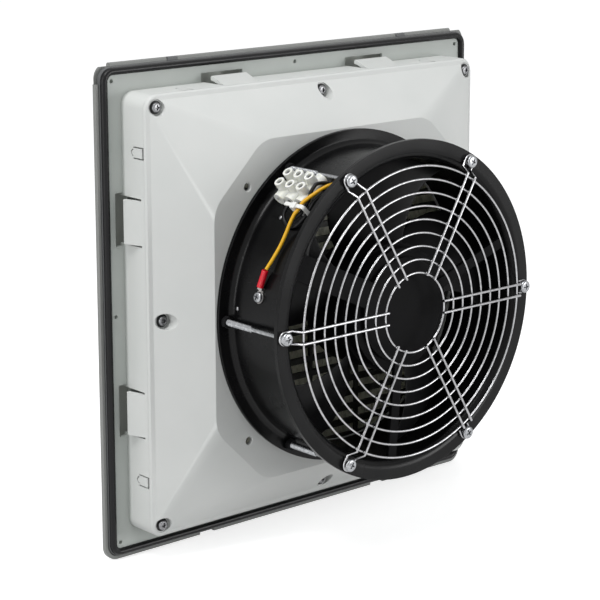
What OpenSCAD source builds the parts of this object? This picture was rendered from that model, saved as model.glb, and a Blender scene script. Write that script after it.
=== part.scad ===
// Cabinet filter fan: square louvred cover and filter mat outside the panel,
// snap-in frame and moulded shroud inside it, round axial fan with a wire guard.
// Origin: centre of the face of the flange that seats on the panel.
// +Y points into the cabinet, along the fan's axis, and +Z is up. Millimetres.

/* [Mounting frame] */
// Outer width and height of the flange, which the other sizes of the frame and the cover follow
flange_w = 318.2; // [300:0.2:360]
// Thickness of the flange
flange_t = 3; // [2.5:0.1:3.4]
// Radius of the flange's corners
flange_corner_r = 8; // [4:0.5:12]
// Border of the flange outside the box that passes through the panel
flange_border = 15.7; // [15:0.1:18]
// Depth of the box, up to the parting line
box_d = 22.7; // [20.5:0.1:26]
// Outer radius of the box's corners
box_corner_r = 9; // [7:0.5:11]
// Wall of the box
box_wall = 2.5; // [2:0.1:3]
// Border between the outside of the box and the bay that holds the filter mat
bay_border = 16.4; // [15.8:0.1:20]
// Wall of the filter bay
bay_wall = 2; // [1.4:0.1:2.4]
// Distance of the pinholes from the flange's edge
pinhole_inset = 8.7; // [8:0.1:9.4]
// Diameter of the pinholes
pinhole_d = 2.5; // [1.5:0.1:3]

/* [Snap tongues] */
// Width of a tongue
tongue_w = 28.4; // [20:0.2:34]
// Place of a tongue's middle, as a share of the way from the box's centre line to its corner
tongue_share = 0.435; // [0.4:0.005:0.47]
// Distance of a tongue's free end from the panel face
tongue_tip_y = 6; // [4.5:0.1:9]
// Distance of a tongue's root from the parting line
tongue_root = 3.3; // [2.6:0.1:4.6]
// How far a tongue's free end stands out of the box wall
tongue_out = 4.6; // [2:0.1:5]
// Thickness of a tongue
tongue_t = 2.2; // [1.6:0.1:2.6]
// Gap beside a tongue
tongue_gap = 1.2; // [0.8:0.1:2]
// Depth of the window in the flange under a tongue
window_d = 5.8; // [5.2:0.1:6.4]

/* [Gasket] */
// Distance of the gasket's middle from the flange's edge
gasket_inset = 2.6; // [2.5:0.1:3.4]
// Width of the gasket
gasket_w = 4.8; // [3:0.1:6]
// Height of the gasket
gasket_h = 3; // [1.5:0.1:3.6]

/* [Shroud] */
// Depth of the shroud from the parting line to the fan's pad
shroud_d = 29.8; // [25:0.1:36]
// Margin of the eight-sided pad outside the fan's flange
pad_margin = 1; // [0.6:0.1:3]
// Distance of the pad's corner sides, as a share of the distance of its other sides
pad_corner_share = 1.163; // [1.12:0.005:1.24]
// Rounding of the pad's corners
pad_corner_r = 22; // [8:1:30]
// Wall of the shroud
shroud_wall = 2.5; // [2:0.1:3]
// Height of the rounded band above the parting line
band_h = 2.3; // [1.5:0.1:3]
// How far the band draws in
band_in = 3.7; // [2.5:0.1:4]
// Distance of the corner screws from the outside of the box
corner_screw_inset = 8.1; // [7.6:0.1:8.8]
// Distance of the side screws from the outside of the box
side_screw_inset = 9.5; // [8.8:0.1:10]
// Diameter of the screw pockets
pocket_d = 10.4; // [9.8:0.1:11]
// Seat of the corner screws above the parting line
corner_seat = 1.5; // [1:0.1:2]
// Seat of the side screws above the parting line
side_seat = 3; // [2:0.1:4]
// Spacing of the pad's spare holes, across
pad_hole_dx = 170; // [166:0.5:174]
// Spacing of the pad's spare holes, upward
pad_hole_dz = 166; // [162:0.5:170]
// Diameter of the pad's spare holes
pad_hole_d = 5.1; // [4:0.1:6]

/* [Fan housing] */
// Outer diameter of both fan flanges
fan_flange_d = 222; // [219:0.5:223]
// Depth of the fan
fan_d = 58.4; // [56:0.2:62]
// Width of the fan flanges, from the air way to the rim
fan_flange_w = 13; // [12.5:0.1:14]
// Wall of the barrel
barrel_wall = 2.8; // [2:0.1:3]
// Thickness of the flange on the shroud
far_flange_t = 2.2; // [1.8:0.1:3]
// Thickness of the flange under the guard
near_flange_t = 3; // [2.4:0.1:3.6]
// Radius of the fillet behind each flange
flange_fillet = 4.6; // [2:0.1:5]
// Radius of the rounded outlet
bell_r = 6.8; // [4:0.2:7]
// Distance of the fan screws from the flanges' rim
fan_screw_inset = 5.5; // [5:0.1:6]
// Number of fan screws
fan_screw_count = 6; // [6:1:6]
// Diameter of the fan screws
fan_screw_d = 4; // [3:0.1:4]

/* [Motor and impeller] */
// Height of the air way between the rotor and the barrel
air_way_h = 56; // [50:0.5:62]
// Distance of the rotor's closed end from the fan's face on the shroud
rotor_in = 5.5; // [4:0.1:7]
// Distance of the struts from the fan's face under the guard
strut_in = 5.3; // [4:0.1:7]
// Wall of the rotor
rotor_wall = 3; // [2:0.2:4]
// Gap between the rotor's rim and the motor plate
rotor_gap = 1; // [0.6:0.1:2]
// Diameter of the shaft
shaft_d = 8; // [6:0.5:10]
// Number of blades
blade_count = 5; // [3:1:7]
// Gap between the blade tips and the barrel
tip_gap = 1.8; // [1:0.1:4]
// Thickness of a blade
blade_t = 1.6; // [1:0.1:2.4]
// How much shorter than the rotor a blade is along the axis
blade_short = 8; // [6:0.5:14]
// Width of a narrow strut
strut_w = 7; // [5:0.5:12]
// Width of the strut that carries the cable
cable_strut_w = 17; // [12:0.5:20]
// Thickness of the struts
strut_t = 2.4; // [1.6:0.1:3]

/* [Wire guard] */
// Number of rings
ring_count = 9; // [6:1:9]
// Radius of the innermost ring
ring_first_r = 26; // [22:0.2:28]
// Distance of the outermost ring's wire from the edge of the air way
ring_inset = 3.2; // [2.6:0.1:5]
// Diameter of the ring wire
ring_wire_d = 1.5; // [1.2:0.1:2]
// Diameter of the arm wire
arm_wire_d = 1.7; // [1.3:0.1:2]
// Height of the rings above the fan's face
ring_height = 5.8; // [5:0.1:9]
// Spacing of the two wires of an arm
arm_pair = 7.8; // [7:0.1:9]

/* [Front cover] */
// How far the cover stands out past the flange's edge
cover_over = 2.4; // [2:0.1:3]
// Depth of the cover in front of the panel face
cover_d = 15; // [12.5:0.5:20]
// Wall of the cover
cover_wall = 2.4; // [1.8:0.1:3]
// How far the cover's sloping sides draw in toward the front
cover_draft = 12; // [8:0.5:14]
// Distance of the louvred field from the edge of the filter bay
louvre_inset = 3; // [2:0.5:8]
// Pitch of the louvres
louvre_pitch = 15.5; // [12:0.5:20]
// Thickness of a louvre
louvre_t = 1.8; // [1.4:0.1:2.6]
// Slope of the louvres
louvre_tilt = 40; // [30:1:50]
// Diameter of the hinge pins
hinge_pin_d = 1.8; // [1.4:0.1:2]
// Distance of the hinges from the centre line
hinge_at = 100; // [60:1:120]

/* [Filter] */
// Thickness of the filter mat
mat_t = 14; // [8:0.5:15]
// Pitch of the grid behind the mat
grid_pitch = 10.2; // [8:0.2:14]
// Height of the grid's slots
grid_slot_h = 6.2; // [4:0.2:7]
// Pitch of the grid's upright bars
grid_bar_pitch = 42; // [30:1:60]
// Width of the grid's upright bars
grid_bar_w = 2.5; // [1.6:0.1:4]
// Thickness of the grid
grid_t = 2.5; // [1.5:0.1:3]

/* [Terminal block] */
// Distance of the terminal block from the second fan screw, along the barrel
block_from_screw = 13.55; // [13:0.05:14.4]
// Number of poles
pole_count = 3; // [3:1:3]
// Pitch of the poles
pole_pitch = 10; // [9:0.1:10.2]
// How far the middle pole is from the middle between the flanges, toward the shroud
block_low = 1.8; // [1:0.1:2.4]
// Length of a pole
pole_len = 23; // [20:0.5:24]
// Outer diameter of a pole's tube
pole_d = 8.4; // [7.6:0.1:8.8]
// Height of the screw towers above the barrel
tower_h = 13.6; // [11:0.2:15]
// Diameter of the screw towers
tower_d = 6.8; // [6:0.1:7.4]
// Diameter of a lead
lead_d = 2.4; // [1.8:0.1:2.4]
// Angle of the earth screw on the barrel
earth_a = 11.1; // [8:0.1:12]
// How far the earth screw is from the middle between the flanges, toward the shroud
earth_low = 0.6; // [-3:0.1:4]

/* [Hidden] */
$fn = 64;

// Colours, as the photograph shows them
shell_grey = [0.84, 0.85, 0.84];
rim_grey = [0.62, 0.63, 0.64];
fan_black = [0.05, 0.05, 0.06];
zinc = [0.80, 0.80, 0.82];
nylon = [0.90, 0.91, 0.87];

// Small fits and overruns
cut = 1;
fit = 0.2;
hair = 0.05;
side_turns = [0, 90, 180, 270];

// Frame
flange_half = flange_w / 2;
box_half = flange_half - flange_border;
box_in_half = box_half - box_wall;
box_in_r = box_corner_r - box_wall;
bay_half = box_half - bay_border;
pinhole_at = flange_half - pinhole_inset;
tongue_at = box_half * tongue_share;
tongue_root_y = box_d - tongue_root;
gasket_at = flange_half - gasket_inset;
bay_corner_r = 3;
grid_y = mat_t;
grid_back_y = grid_y + grid_t;
boss_r = 5.5;
pilot_r = 1.95;
window_w = tongue_w + 2 * 2.9;
tongue_lip = 1.6;
latch_inset = 36.9;
latch_at = box_half - latch_inset;
latch_w = 7;
latch_slot_h = 1.7;
latch_slit = 0.8;
latch_leg = 10.6;
latch_notch_r = 2.4;
catch_w = 16;
catch_h = 2.2;
catch_t = 3;
catch_inset = 8;

// Shroud
fan_r = fan_flange_d / 2;
throat_r = fan_r - fan_flange_w;
pad_y = box_d + shroud_d;
pad_half = fan_r + pad_margin;
corner_screw_at = box_half - corner_screw_inset;
side_screw_at = box_half - side_screw_inset;
corner_seat_y = box_d + corner_seat;
side_seat_y = box_d + side_seat;
pocket_r = pocket_d / 2;
screw_shank_r = 1.9;
screw_head_r = 3.3;
screw_head_h = 2.2;
shroud_screw_len = 16;
washer_r = 4.3;
washer_t = 0.5;
cone_half = box_half - band_in;
cone_corner_r = box_corner_r - 1.6;
slice = 0.02;
pad_chamfer = 0.5;
nose_boss_r = 4;
nose_boss_h = 6;
screw_clear = 0.2;
recess_r = 2.1;
recess_w = 0.9;
recess_deep = 1.3;

// Fan
barrel_r = throat_r + barrel_wall;
near_y = pad_y + fan_d;
near_back_y = near_y - near_flange_t;
far_back_y = pad_y + far_flange_t;
mid_y = (far_back_y + near_back_y) / 2;
fan_screw_r = fan_r - fan_screw_inset;
fan_bolt_r = fan_screw_d / 2;
fan_bolt_tip_y = pad_y - shroud_wall - nose_boss_h + 1;
fan_head_r = 4.3;
fan_head_h = 2.9;
nut_af = 7;
nut_h = 3.2;
nut_r = nut_af / 2 / cos(30);
fan_screw_step = 360 / fan_screw_count;

// Places of the tie and the earth screw along the barrel from the second fan screw
tie_from_screw = 28.5;
earth_from_screw = 86.03;
earth_run = 17.5;

// Motor, from the struts back to the rotor's closed end
rotor_r = throat_r - air_way_h;
plate_t = 7.2;
plate_r = rotor_r - 2;
strut_y = near_y - strut_in - strut_t;
plate_y = strut_y - plate_t;
rotor_y = pad_y + rotor_in;
rotor_end_y = plate_y - rotor_gap;
rotor_h = rotor_end_y - rotor_y;
bracket_r = rotor_r - 8;
strut_angles = [-85, 161];
cable_strut_a = wire_angle(-61.58);
shaft_r = shaft_d / 2;
bearing_r = shaft_r + 4;
bearing_h = 5;
bearing_run = 0.03;
winding_r = rotor_r - rotor_wall - 2;
winding_y = rotor_y + rotor_wall + 5;
winding_h = plate_y - winding_y;
bearing_ys = [winding_y + 1, plate_y - 3];
shaft_end_y = plate_y + plate_t - 3;
shaft_end_gap = 0.5;

// Blades: a cambered sheet whose chord turns from the rotor to the tip
blade_h = rotor_h - blade_short;
blade_tip_r = throat_r - tip_gap;
blade_root_r = rotor_r + hair;
blade_mid_y = rotor_y + rotor_h / 2;
blade_span_steps = 8;
blade_chord_steps = 9;
blade_root_arc = 46;
blade_tip_arc = 43;
blade_tip_rise_share = 0.72;
blade_sweep = 16;
blade_camber_share = 0.10;
blade_start = 12;

// Guard
ring_pitch = (throat_r - ring_inset - ring_first_r) / (ring_count - 1);
ring_y = near_y + ring_height;
arm_y = ring_y + (ring_wire_d + arm_wire_d) / 2;
arm_low_y = near_y + arm_wire_d / 2;
arm_in_r = ring_first_r - 1.6;
arm_bend_r = ring_first_r + ring_pitch * (ring_count - 1) + 1.6;
arm_foot_r = arm_bend_r + 4;

// Cover and its hinge line
cover_half = flange_half + cover_over;
cover_corner_r = 9;
cover_lip_y = -1;
cover_back_y = -flange_t - 0.3;
lip_gap = 0.3;
lip_inset = 12.5;
lip_end = cover_half - lip_inset;
bead_r = 1.9;
hinge_z = cover_half - bead_r;
hinge_y = cover_back_y - bead_r;
ear_w = 8;
ear_gap = 0.3;
pin_run = 0.05;
pin_len = 24;
louvre_half = bay_half - louvre_inset;
louvre_w = 2 * louvre_half;
louvre_count = floor(louvre_w / louvre_pitch);
louvre_rows = [for (i = [0:louvre_count - 1]) -(louvre_count - 1) * louvre_pitch / 2 + i * louvre_pitch];
notch_at = 78;
notch_w = 12;
notch_d = 2;
catch_tab_w = 12;
catch_tab_t = 1.6;
stay_in = 5;
stay_d = 6;

// Terminal block and earth point
block_a = wire_angle(-block_from_screw);
pole_y = mid_y - block_low - (pole_count - 1) * pole_pitch / 2;
earth_y = mid_y - earth_low;
pole_r = pole_d / 2;
pole_x = barrel_r + fit + pole_r;
bore_r = 1.6;
bore_deep = 7;
tower_step = 8.8;
web_t = 2.6;
web_len = 12;
clamp_r = 1.9;
clamp_deep = 3;
tie_a = wire_angle(-tie_from_screw);
tie_w = 2.6;
tie_t = 0.9;
tie_hug = 0.2;
tie_corner = 1.1;
tie_head = [4.6, 4.2, 4.4];
tie_tail = 7;
lug_r = 3.9;
lug_t = 0.8;
lug_hole_r = 2.1;
lug_neck_w = 4;
sleeve_at = 6.6;
sleeve_len = 11.3;
sleeve_r = 2.1;
sleeve_x = 2.5;
sleeve_tilt = 13.7;
earth_head_r = 3.5;
earth_head_h = 2.2;
slot_a = wire_angle(6.25);
slot_len = 6.5;
slot_r = 4.3;
slot_high = 16;

// Routes, as rows of distance along the barrel from the second fan screw, distance past the middle
// between the flanges, and height above the barrel
cable_route = [
    [0.35, 16, -6], [-10.56, 16.7, -6], [-22.87, 17.5, -6], [-35.19, 18.3, -6.2], [-45.74, 18.7, -6.8],
    [-53.66, 18.8, -9.2], [-58.76, 18.8, -13.8], [-60.87, 18.8, -19.8], [-61.58, 18.8, -26.8],
    [-61.58, 18.8, -40.8], [-61.58, 18.8, -60.4]
];
supply_route_a = [
    [1.06, 14.7, -6.6], [3.17, 14.1, -5.6], [5.28, 13.6, -4], [6.33, 13.3, -2], [5.98, 13.3, -0.2],
    [4.22, 13.3, 1], [0, 13.4, 1.3], [-2.81, 13.9, 1.9], [-5.63, 14.2, 4.8], [-10.56, 14.3, 9],
    [-14.07, 14.3, 9.4], [-17.59, 14.2, 8.4], [-21.11, 14.1, 6.4], [-24.63, 13.4, 4.9],
    [-27.09, 13, 4.5], [-29.91, 13, 4.3], [-32.37, 11.6, 4.2], [-33.78, 10, 4.2], [-32.9, 8.4, 4.3],
    [-29.03, 8.2, 4.4], [-23.57, 8.2, 4.6]
];
supply_route_b = [
    [1.06, 17.3, -6.6], [3.17, 17.9, -5.6], [5.28, 18.5, -4], [6.33, 18.7, -2], [5.98, 18.7, -0.2],
    [4.22, 18.7, 1], [0, 18.7, 1.3], [-4.4, 19.3, 1.6], [-8.8, 19.1, 2.2], [-13.19, 17.9, 3.2],
    [-17.59, 16.7, 3.8], [-21.11, 16, 3.6], [-24.63, 15.9, 3], [-27.09, 15.7, 2.6], [-29.91, 15.6, 2.4],
    [-32.55, 14.7, 1.9], [-36.95, 12.2, 1.6], [-38.7, 8.7, 1.5], [-38.7, 4.7, 1.6], [-36.95, 1.2, 2.2],
    [-33.43, -1.3, 3.6], [-29.03, -1.8, 4.4], [-23.57, -1.8, 4.6]
];
earth_route = [
    [1.06, 16, -4.3], [3.17, 16, -3.4], [4.57, 16, -2], [4.93, 16, -0.4], [3.52, 16, 1], [0, 16, 1.3],
    [-3.52, 17.1, 2.4], [-7.92, 17.8, 4.8], [-13.19, 17.6, 6.8], [-17.59, 16.8, 7.8],
    [-21.11, 15.6, 8.4], [-24.63, 13.6, 8.3], [-27.09, 12.9, 7.9], [-29.91, 12.7, 7.6],
    [-32.55, 11.3, 7], [-37.82, 9.7, 5.2], [-43.98, 8.7, 3.4], [-52.78, 7.5, 2.4], [-61.58, 5.7, 2.8],
    [-68.61, 3.8, 3.8]
];
lead_sides = 8;
cable_r = 3;

BASE_NODES = [
    "mounting_frame", "panel_gasket", "front_cover", "hinge_pin_1", "hinge_pin_2", "filter_mat",
    "mat_support_grid", "rear_shroud", "shroud_washers", "fan_housing", "guard_rings", "guard_arms",
    "motor_bracket", "stator", "bearing_1", "bearing_2", "motor_shaft", "rotor_hub", "motor_cable",
    "terminal_block", "terminal_screws", "supply_lead_1", "supply_lead_2", "earth_lead", "cable_tie",
    "lug_sleeve", "ring_lug", "earth_screw"
];
shroud_screw_names = [for (i = [1:8]) str("shroud_screw_", i)];
fan_screw_names = [for (i = [1:fan_screw_count]) str("fan_screw_", i)];
fan_nut_names = [for (i = [1:fan_screw_count]) str("fan_nut_", i)];
blade_names = [for (i = [1:blade_count]) str("impeller_blade_", i)];

// Places of the shroud screws: four corners, then four sides
corner_places = [for (sx = [-1, 1], sz = [-1, 1]) [sx * corner_screw_at, corner_seat_y, sz * corner_screw_at]];
side_places = [for (a = side_turns) [side_screw_at * cos(a), side_seat_y, side_screw_at * sin(a)]];
shroud_screw_places = concat(corner_places, side_places);

function polar(a, y, r) = [r * cos(a), y, r * sin(a)];
function unit(v) = v / norm(v);
function lead_r() = lead_d / 2;
function arc_angle(t) = t / barrel_r * 180 / PI;

// Angle on the barrel of a place in the wiring: measured from the fan screw up to the tie, and
// from the earth screw near that screw
function wire_angle(t) =
    let (
        from_screw = fan_screw_step + arc_angle(t),
        from_earth = earth_a + arc_angle(t + earth_from_screw),
        w = min(max((t + tie_from_screw) / (earth_run + tie_from_screw - earth_from_screw), 0), 1)
    )
    from_screw + w * (from_earth - from_screw);

// Turns a shape drawn with its axis along Z so that the axis runs along +Y
module along_y() {
    rotate([-90, 0, 0]) children();
}

// Carries a shape drawn on the +X side round the fan's axis
module at_angle(a) {
    rotate([0, -a, 0]) children();
}

// A square with round corners
module rounded_square(half, r) {
    offset(r = r) square(2 * (half - r), center = true);
}

// A square plate or block from one distance to another
module square_block(half, r, y0, y1) {
    translate([0, y0, 0]) along_y() linear_extrude(y1 - y0) straight_rounded_square(half, r);
}

// The same outline from squares and circles, which keeps the corners true
module straight_rounded_square(half, r) {
    square([2 * half, 2 * (half - r)], center = true);
    square([2 * (half - r), 2 * half], center = true);
    for (sx = [-1, 1], sz = [-1, 1]) translate([sx * (half - r), sz * (half - r)]) circle(r);
}

// A disc or rod along Y
module rod(r, y0, y1) {
    translate([0, y0, 0]) along_y() cylinder(r = r, h = y1 - y0);
}

// Cross recess in the face of a screw head that looks along +Y
module cross_recess(r, y) {
    for (a = [0, 90]) {
        at_angle(a) translate([-r, y - recess_deep, -recess_w / 2]) cube([2 * r, recess_deep + cut, recess_w]);
    }
}

// Pan head that looks along +Y, with its seat at y
module pan_head(r, h, y) {
    difference() {
        translate([0, y, 0]) along_y() rotate_extrude() pan_profile(r, h);
        cross_recess(r * 0.55, y + h);
    }
}

// Half section of a pan head: straight below, rounded above
module pan_profile(r, h) {
    round_r = h * 0.6;
    square([r, h - round_r]);
    square([r - round_r, h]);
    translate([r - round_r, h - round_r]) intersection() {
        circle(round_r);
        square(round_r);
    }
}

module mounting_frame() {
    color(shell_grey) {
        difference() {
            union() {
                square_block(flange_half, flange_corner_r, -flange_t, 0);
                square_block(box_half, box_corner_r, -hair, box_d);
            }
            difference() {
                square_block(box_in_half, box_in_r, 0, box_d + cut);
                square_block(bay_half + bay_wall, bay_corner_r + bay_wall, -cut, grid_back_y);
                for (p = shroud_screw_places) translate([p.x, 0, p.z]) rod(boss_r, -cut, box_d);
            }
            square_block(bay_half, bay_corner_r, -flange_t - cut, box_d + 2 * cut);
            for (p = shroud_screw_places) translate([p.x, 0, p.z]) rod(pilot_r, box_d - shroud_screw_len + cut, box_d + cut);
            for (a = side_turns) at_angle(a) {
                for (s = [-1, 1]) translate([0, 0, s * tongue_at]) tongue_window();
                for (s = [-1, 1]) translate([0, 0, s * latch_at]) latch_cut();
            }
            pinholes();
        }
        for (a = side_turns) at_angle(a) {
            for (s = [-1, 1]) translate([0, 0, s * tongue_at]) tongue();
        }
        for (s = [-1, 1]) hinge_ear(s * hinge_at);
        for (s = [-1, 1]) translate([s * notch_at, -flange_t, -bay_half - catch_inset]) cover_catch();
    }
}

// Eight small holes through the flange: corners and middles
module pinholes() {
    for (x = [-pinhole_at, 0, pinhole_at], z = [-pinhole_at, 0, pinhole_at]) {
        if (x != 0 || z != 0) translate([x, 0, z]) rod(pinhole_d / 2, -flange_t - cut, cut);
    }
}

// Window under a tongue, through the flange and the box wall, on the +X side
module tongue_window() {
    translate([box_half, -flange_t - cut, -window_w / 2]) cube([window_d, flange_t + 2 * cut, window_w]);
    slot_w = tongue_w + 2 * tongue_gap;
    translate([box_in_half - cut, -flange_t - cut, -slot_w / 2])
        cube([box_wall + 2 * cut, tongue_root_y + flange_t + cut, slot_w]);
}

// Tongue that springs out of the wall: root at the parting side, hooked free end
module tongue() {
    foot = 0.6;
    outline = [
        [box_half - tongue_t, tongue_root_y + foot],
        [box_half, tongue_root_y + foot],
        [box_half, tongue_root_y],
        [box_half + tongue_out, tongue_tip_y + tongue_lip],
        [box_half + tongue_out, tongue_tip_y + tongue_lip / 2],
        [box_half + tongue_out - tongue_lip / 2, tongue_tip_y],
        [box_half + tongue_out - tongue_t - tongue_lip / 2, tongue_tip_y],
        [box_half + tongue_out - tongue_t - tongue_lip / 2, tongue_tip_y + tongue_lip],
        [box_half - tongue_t, tongue_root_y]
    ];
    translate([0, 0, -tongue_w / 2]) linear_extrude(tongue_w) polygon(outline);
}

// Slot, two slits and a round notch that free a small spring catch in the wall, on the +X side
module latch_cut() {
    deep = box_wall + 2 * cut;
    x0 = box_in_half - cut;
    translate([x0, box_d - latch_slot_h, -latch_w / 2]) cube([deep, latch_slot_h + cut, latch_w]);
    for (s = [-1, 1]) {
        translate([x0, box_d - latch_leg, s * latch_w / 2 - latch_slit / 2]) cube([deep, latch_leg + cut, latch_slit]);
    }
    translate([x0, box_d - latch_leg, 0]) rotate([0, 90, 0]) difference() {
        cylinder(r = latch_notch_r, h = deep);
        translate([0, 0, -cut]) cylinder(r = latch_notch_r - latch_slit, h = deep + 2 * cut);
        translate([-latch_notch_r - cut, 0, -cut]) cube([2 * (latch_notch_r + cut), latch_notch_r + cut, deep + 2 * cut]);
    }
}

// Ear on the front of the flange that carries a hinge pin
module hinge_ear(x) {
    translate([x - ear_w / 2, hinge_y, hinge_z]) difference() {
        union() {
            rotate([0, 90, 0]) cylinder(r = bead_r, h = ear_w);
            translate([0, 0, -bead_r]) cube([ear_w, -flange_t - hinge_y + hair, 2 * bead_r - 0.4]);
        }
        translate([-cut, 0, 0]) rotate([0, 90, 0]) cylinder(r = hinge_pin_d / 2, h = ear_w + 2 * cut);
    }
}

// Ledge that holds the closed cover's tab by friction
module cover_catch() {
    translate([-catch_w / 2, -catch_t, 0]) cube([catch_w, catch_t + hair, catch_h]);
}

module panel_gasket() {
    inner_r = flange_corner_r - 4;
    straight = gasket_at - inner_r - gasket_w / 2;
    color([0.16, 0.16, 0.17]) {
        for (a = side_turns) at_angle(a) {
            translate([gasket_at, 0, -straight]) linear_extrude(2 * straight) gasket_profile();
            translate([straight, 0, straight]) rotate([-90, 0, 0]) rotate([0, 0, -90])
                rotate_extrude(angle = 90) translate([gasket_at - straight, 0]) gasket_profile();
        }
    }
}

// Half-round bead on a flat base
module gasket_profile() {
    intersection() {
        translate([0, gasket_h - gasket_w / 2]) circle(gasket_w / 2);
        translate([-gasket_w, 0]) square([2 * gasket_w, gasket_h + cut]);
    }
    translate([-gasket_w / 2, 0]) square([gasket_w, max(gasket_h - gasket_w / 2, hair)]);
}

module front_cover() {
    color(rim_grey) difference() {
        union() {
            difference() {
                cover_shell();
                cover_cavity();
                translate([-louvre_half, -cover_d - cut, -louvre_half]) cube([louvre_w, cover_d, louvre_w]);
            }
            louvres();
            louvre_frame();
            cover_lips();
            hinge_bead();
            for (s = [-1, 1]) translate([s * notch_at, 0, 0]) cover_tab();
        }
        for (s = [-1, 1]) hinge_notch(s * hinge_at);
        for (s = [-1, 1]) translate([s * notch_at, 0, 0]) lever_notch();
    }
}

// Outer form: draws in toward the front
module cover_shell() {
    front_half = cover_half - cover_draft;
    hull() {
        translate([0, -cover_d, 0]) along_y() linear_extrude(slice) rounded_square(front_half, cover_corner_r - 1);
        translate([0, cover_back_y - slice, 0]) along_y() linear_extrude(slice) intersection() {
            rounded_square(cover_half, cover_corner_r);
            translate([-cover_half, -hinge_z - hair]) square([2 * cover_half, cover_half + hinge_z]);
        }
    }
}

// The hollow behind the cover's front wall and its sloping sides
module cover_cavity() {
    hull() {
        translate([0, -cover_d + cover_wall, 0]) along_y() linear_extrude(slice)
            rounded_square(cover_half - cover_draft - cover_wall, cover_corner_r - 3);
        translate([0, cover_back_y, 0]) along_y() linear_extrude(cut)
            rounded_square(cover_half - 2 * cover_wall, cover_corner_r - 3);
    }
}

// Slanted slats across the field, one profile drawn out sideways
module louvres() {
    slat_d = cover_d - 4;
    rise = slat_d * tan(louvre_tilt);
    front_y = -cover_d + 0.6;
    for (z = louvre_rows) translate([-louvre_half - hair, 0, z + rise / 2]) rotate([90, 0, 90])
        linear_extrude(louvre_w + 2 * hair) polygon([
            [front_y, -rise],
            [front_y + slat_d, 0],
            [front_y + slat_d, louvre_t],
            [front_y, louvre_t - rise]
        ]);
}

// Wall round the field, to which the slats run
module louvre_frame() {
    difference() {
        square_block(louvre_half + cover_wall, cover_wall, -cover_d + hair, cover_back_y);
        square_block(louvre_half, hair, -cover_d - cut, 0);
    }
    for (x = [-louvre_w / 6, louvre_w / 6]) {
        translate([x - cover_wall / 2, -cover_d + stay_in, -louvre_half - hair])
            cube([cover_wall, stay_d, louvre_w + 2 * hair]);
    }
}

// Lips that close round the flange's two sides and its bottom edge
module cover_lips() {
    inner = flange_half + lip_gap;
    difference() {
        square_block(cover_half, cover_corner_r, cover_back_y - cut, cover_lip_y);
        square_block(inner, flange_corner_r, cover_back_y - 2 * cut, 0);
        translate([-2 * cover_half, cover_back_y - 2 * cut, lip_end]) cube([4 * cover_half, cover_d, cover_half]);
    }
}

// Rolled top edge, concentric with the hinge line
module hinge_bead() {
    len = 2 * lip_end;
    translate([-len / 2, hinge_y, hinge_z]) rotate([0, 90, 0]) cylinder(r = bead_r, h = len);
}

// Room for an ear in the rolled edge, and the hole for the pin
module hinge_notch(x) {
    w = ear_w + 2 * ear_gap;
    room = bead_r + ear_gap;
    translate([x - w / 2, hinge_y, hinge_z]) rotate([0, 90, 0]) cylinder(r = room, h = w);
    translate([x - w / 2, hinge_y, hinge_z - room]) cube([w, room + cut, 2 * room]);
    translate([x - pin_len / 2, hinge_y, hinge_z]) rotate([0, 90, 0])
        cylinder(r = hinge_pin_d / 2 + pin_run, h = pin_len);
}

// Finger notch in the cover's lower lip
module lever_notch() {
    translate([-notch_w / 2, -flange_t - 1.2, -cover_half - cut]) cube([notch_w, flange_t + cut, notch_d + cut]);
}

// Tab inside the cover that rubs under the frame's catch
module cover_tab() {
    z1 = -bay_half - catch_inset - fit;
    translate([-catch_tab_w / 2, -cover_d + hair + cover_wall / 2, z1 - catch_tab_t])
        cube([catch_tab_w, cover_d - flange_t - 0.8 - cover_wall / 2, catch_tab_t]);
}

module hinge_pin(i) {
    x = (i == 1 ? -1 : 1) * hinge_at;
    color(zinc) translate([x - pin_len / 2 + fit, hinge_y, hinge_z]) rotate([0, 90, 0])
        cylinder(r = hinge_pin_d / 2, h = pin_len - 2 * fit);
}

module filter_mat() {
    half = bay_half - 0.3;
    front = -flange_t + 0.6;
    color([0.80, 0.80, 0.72]) square_block(half, bay_corner_r, front, grid_y - hair);
}

// Moulded grid that the mat leans on
module mat_support_grid() {
    rows = floor(2 * (bay_half - 2) / grid_pitch);
    color(shell_grey) translate([0, grid_y, 0]) along_y() linear_extrude(grid_t) difference() {
        straight_rounded_square(bay_half, bay_corner_r);
        for (i = [0:rows - 1]) translate([0, -(rows - 1) * grid_pitch / 2 + i * grid_pitch]) grid_row();
    }
}

// One row of slots
module grid_row() {
    side = floor((bay_half - 3) / grid_bar_pitch);
    for (k = [-side - 1:side]) {
        x0 = max(k * grid_bar_pitch + grid_bar_w / 2, -bay_half + 3);
        x1 = min((k + 1) * grid_bar_pitch - grid_bar_w / 2, bay_half - 3);
        if (x1 - x0 > grid_bar_w) translate([x0, -grid_slot_h / 2]) square([x1 - x0, grid_slot_h]);
    }
}

// The pad's eight-sided outline, corners rounded
module pad_outline(grow) {
    half = pad_half;
    cut_to = half * (pad_corner_share * sqrt(2) - 1);
    offset(delta = grow) offset(r = pad_corner_r) offset(delta = -pad_corner_r) polygon([
        [half, cut_to], [cut_to, half], [-cut_to, half], [-half, cut_to],
        [-half, -cut_to], [-cut_to, -half], [cut_to, -half], [half, -cut_to]
    ]);
}

// Outer body of the shroud, or its inside when walls are taken off
module shroud_form(wall, pad_at) {
    hull() {
        translate([0, box_d + band_h - slice, 0]) along_y() linear_extrude(slice)
            rounded_square(cone_half - wall, cone_corner_r - wall / 2, $fn = 32);
        translate([0, pad_at - slice, 0]) along_y() linear_extrude(slice) pad_outline(-wall * 0.7, $fn = 40);
    }
}

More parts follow.
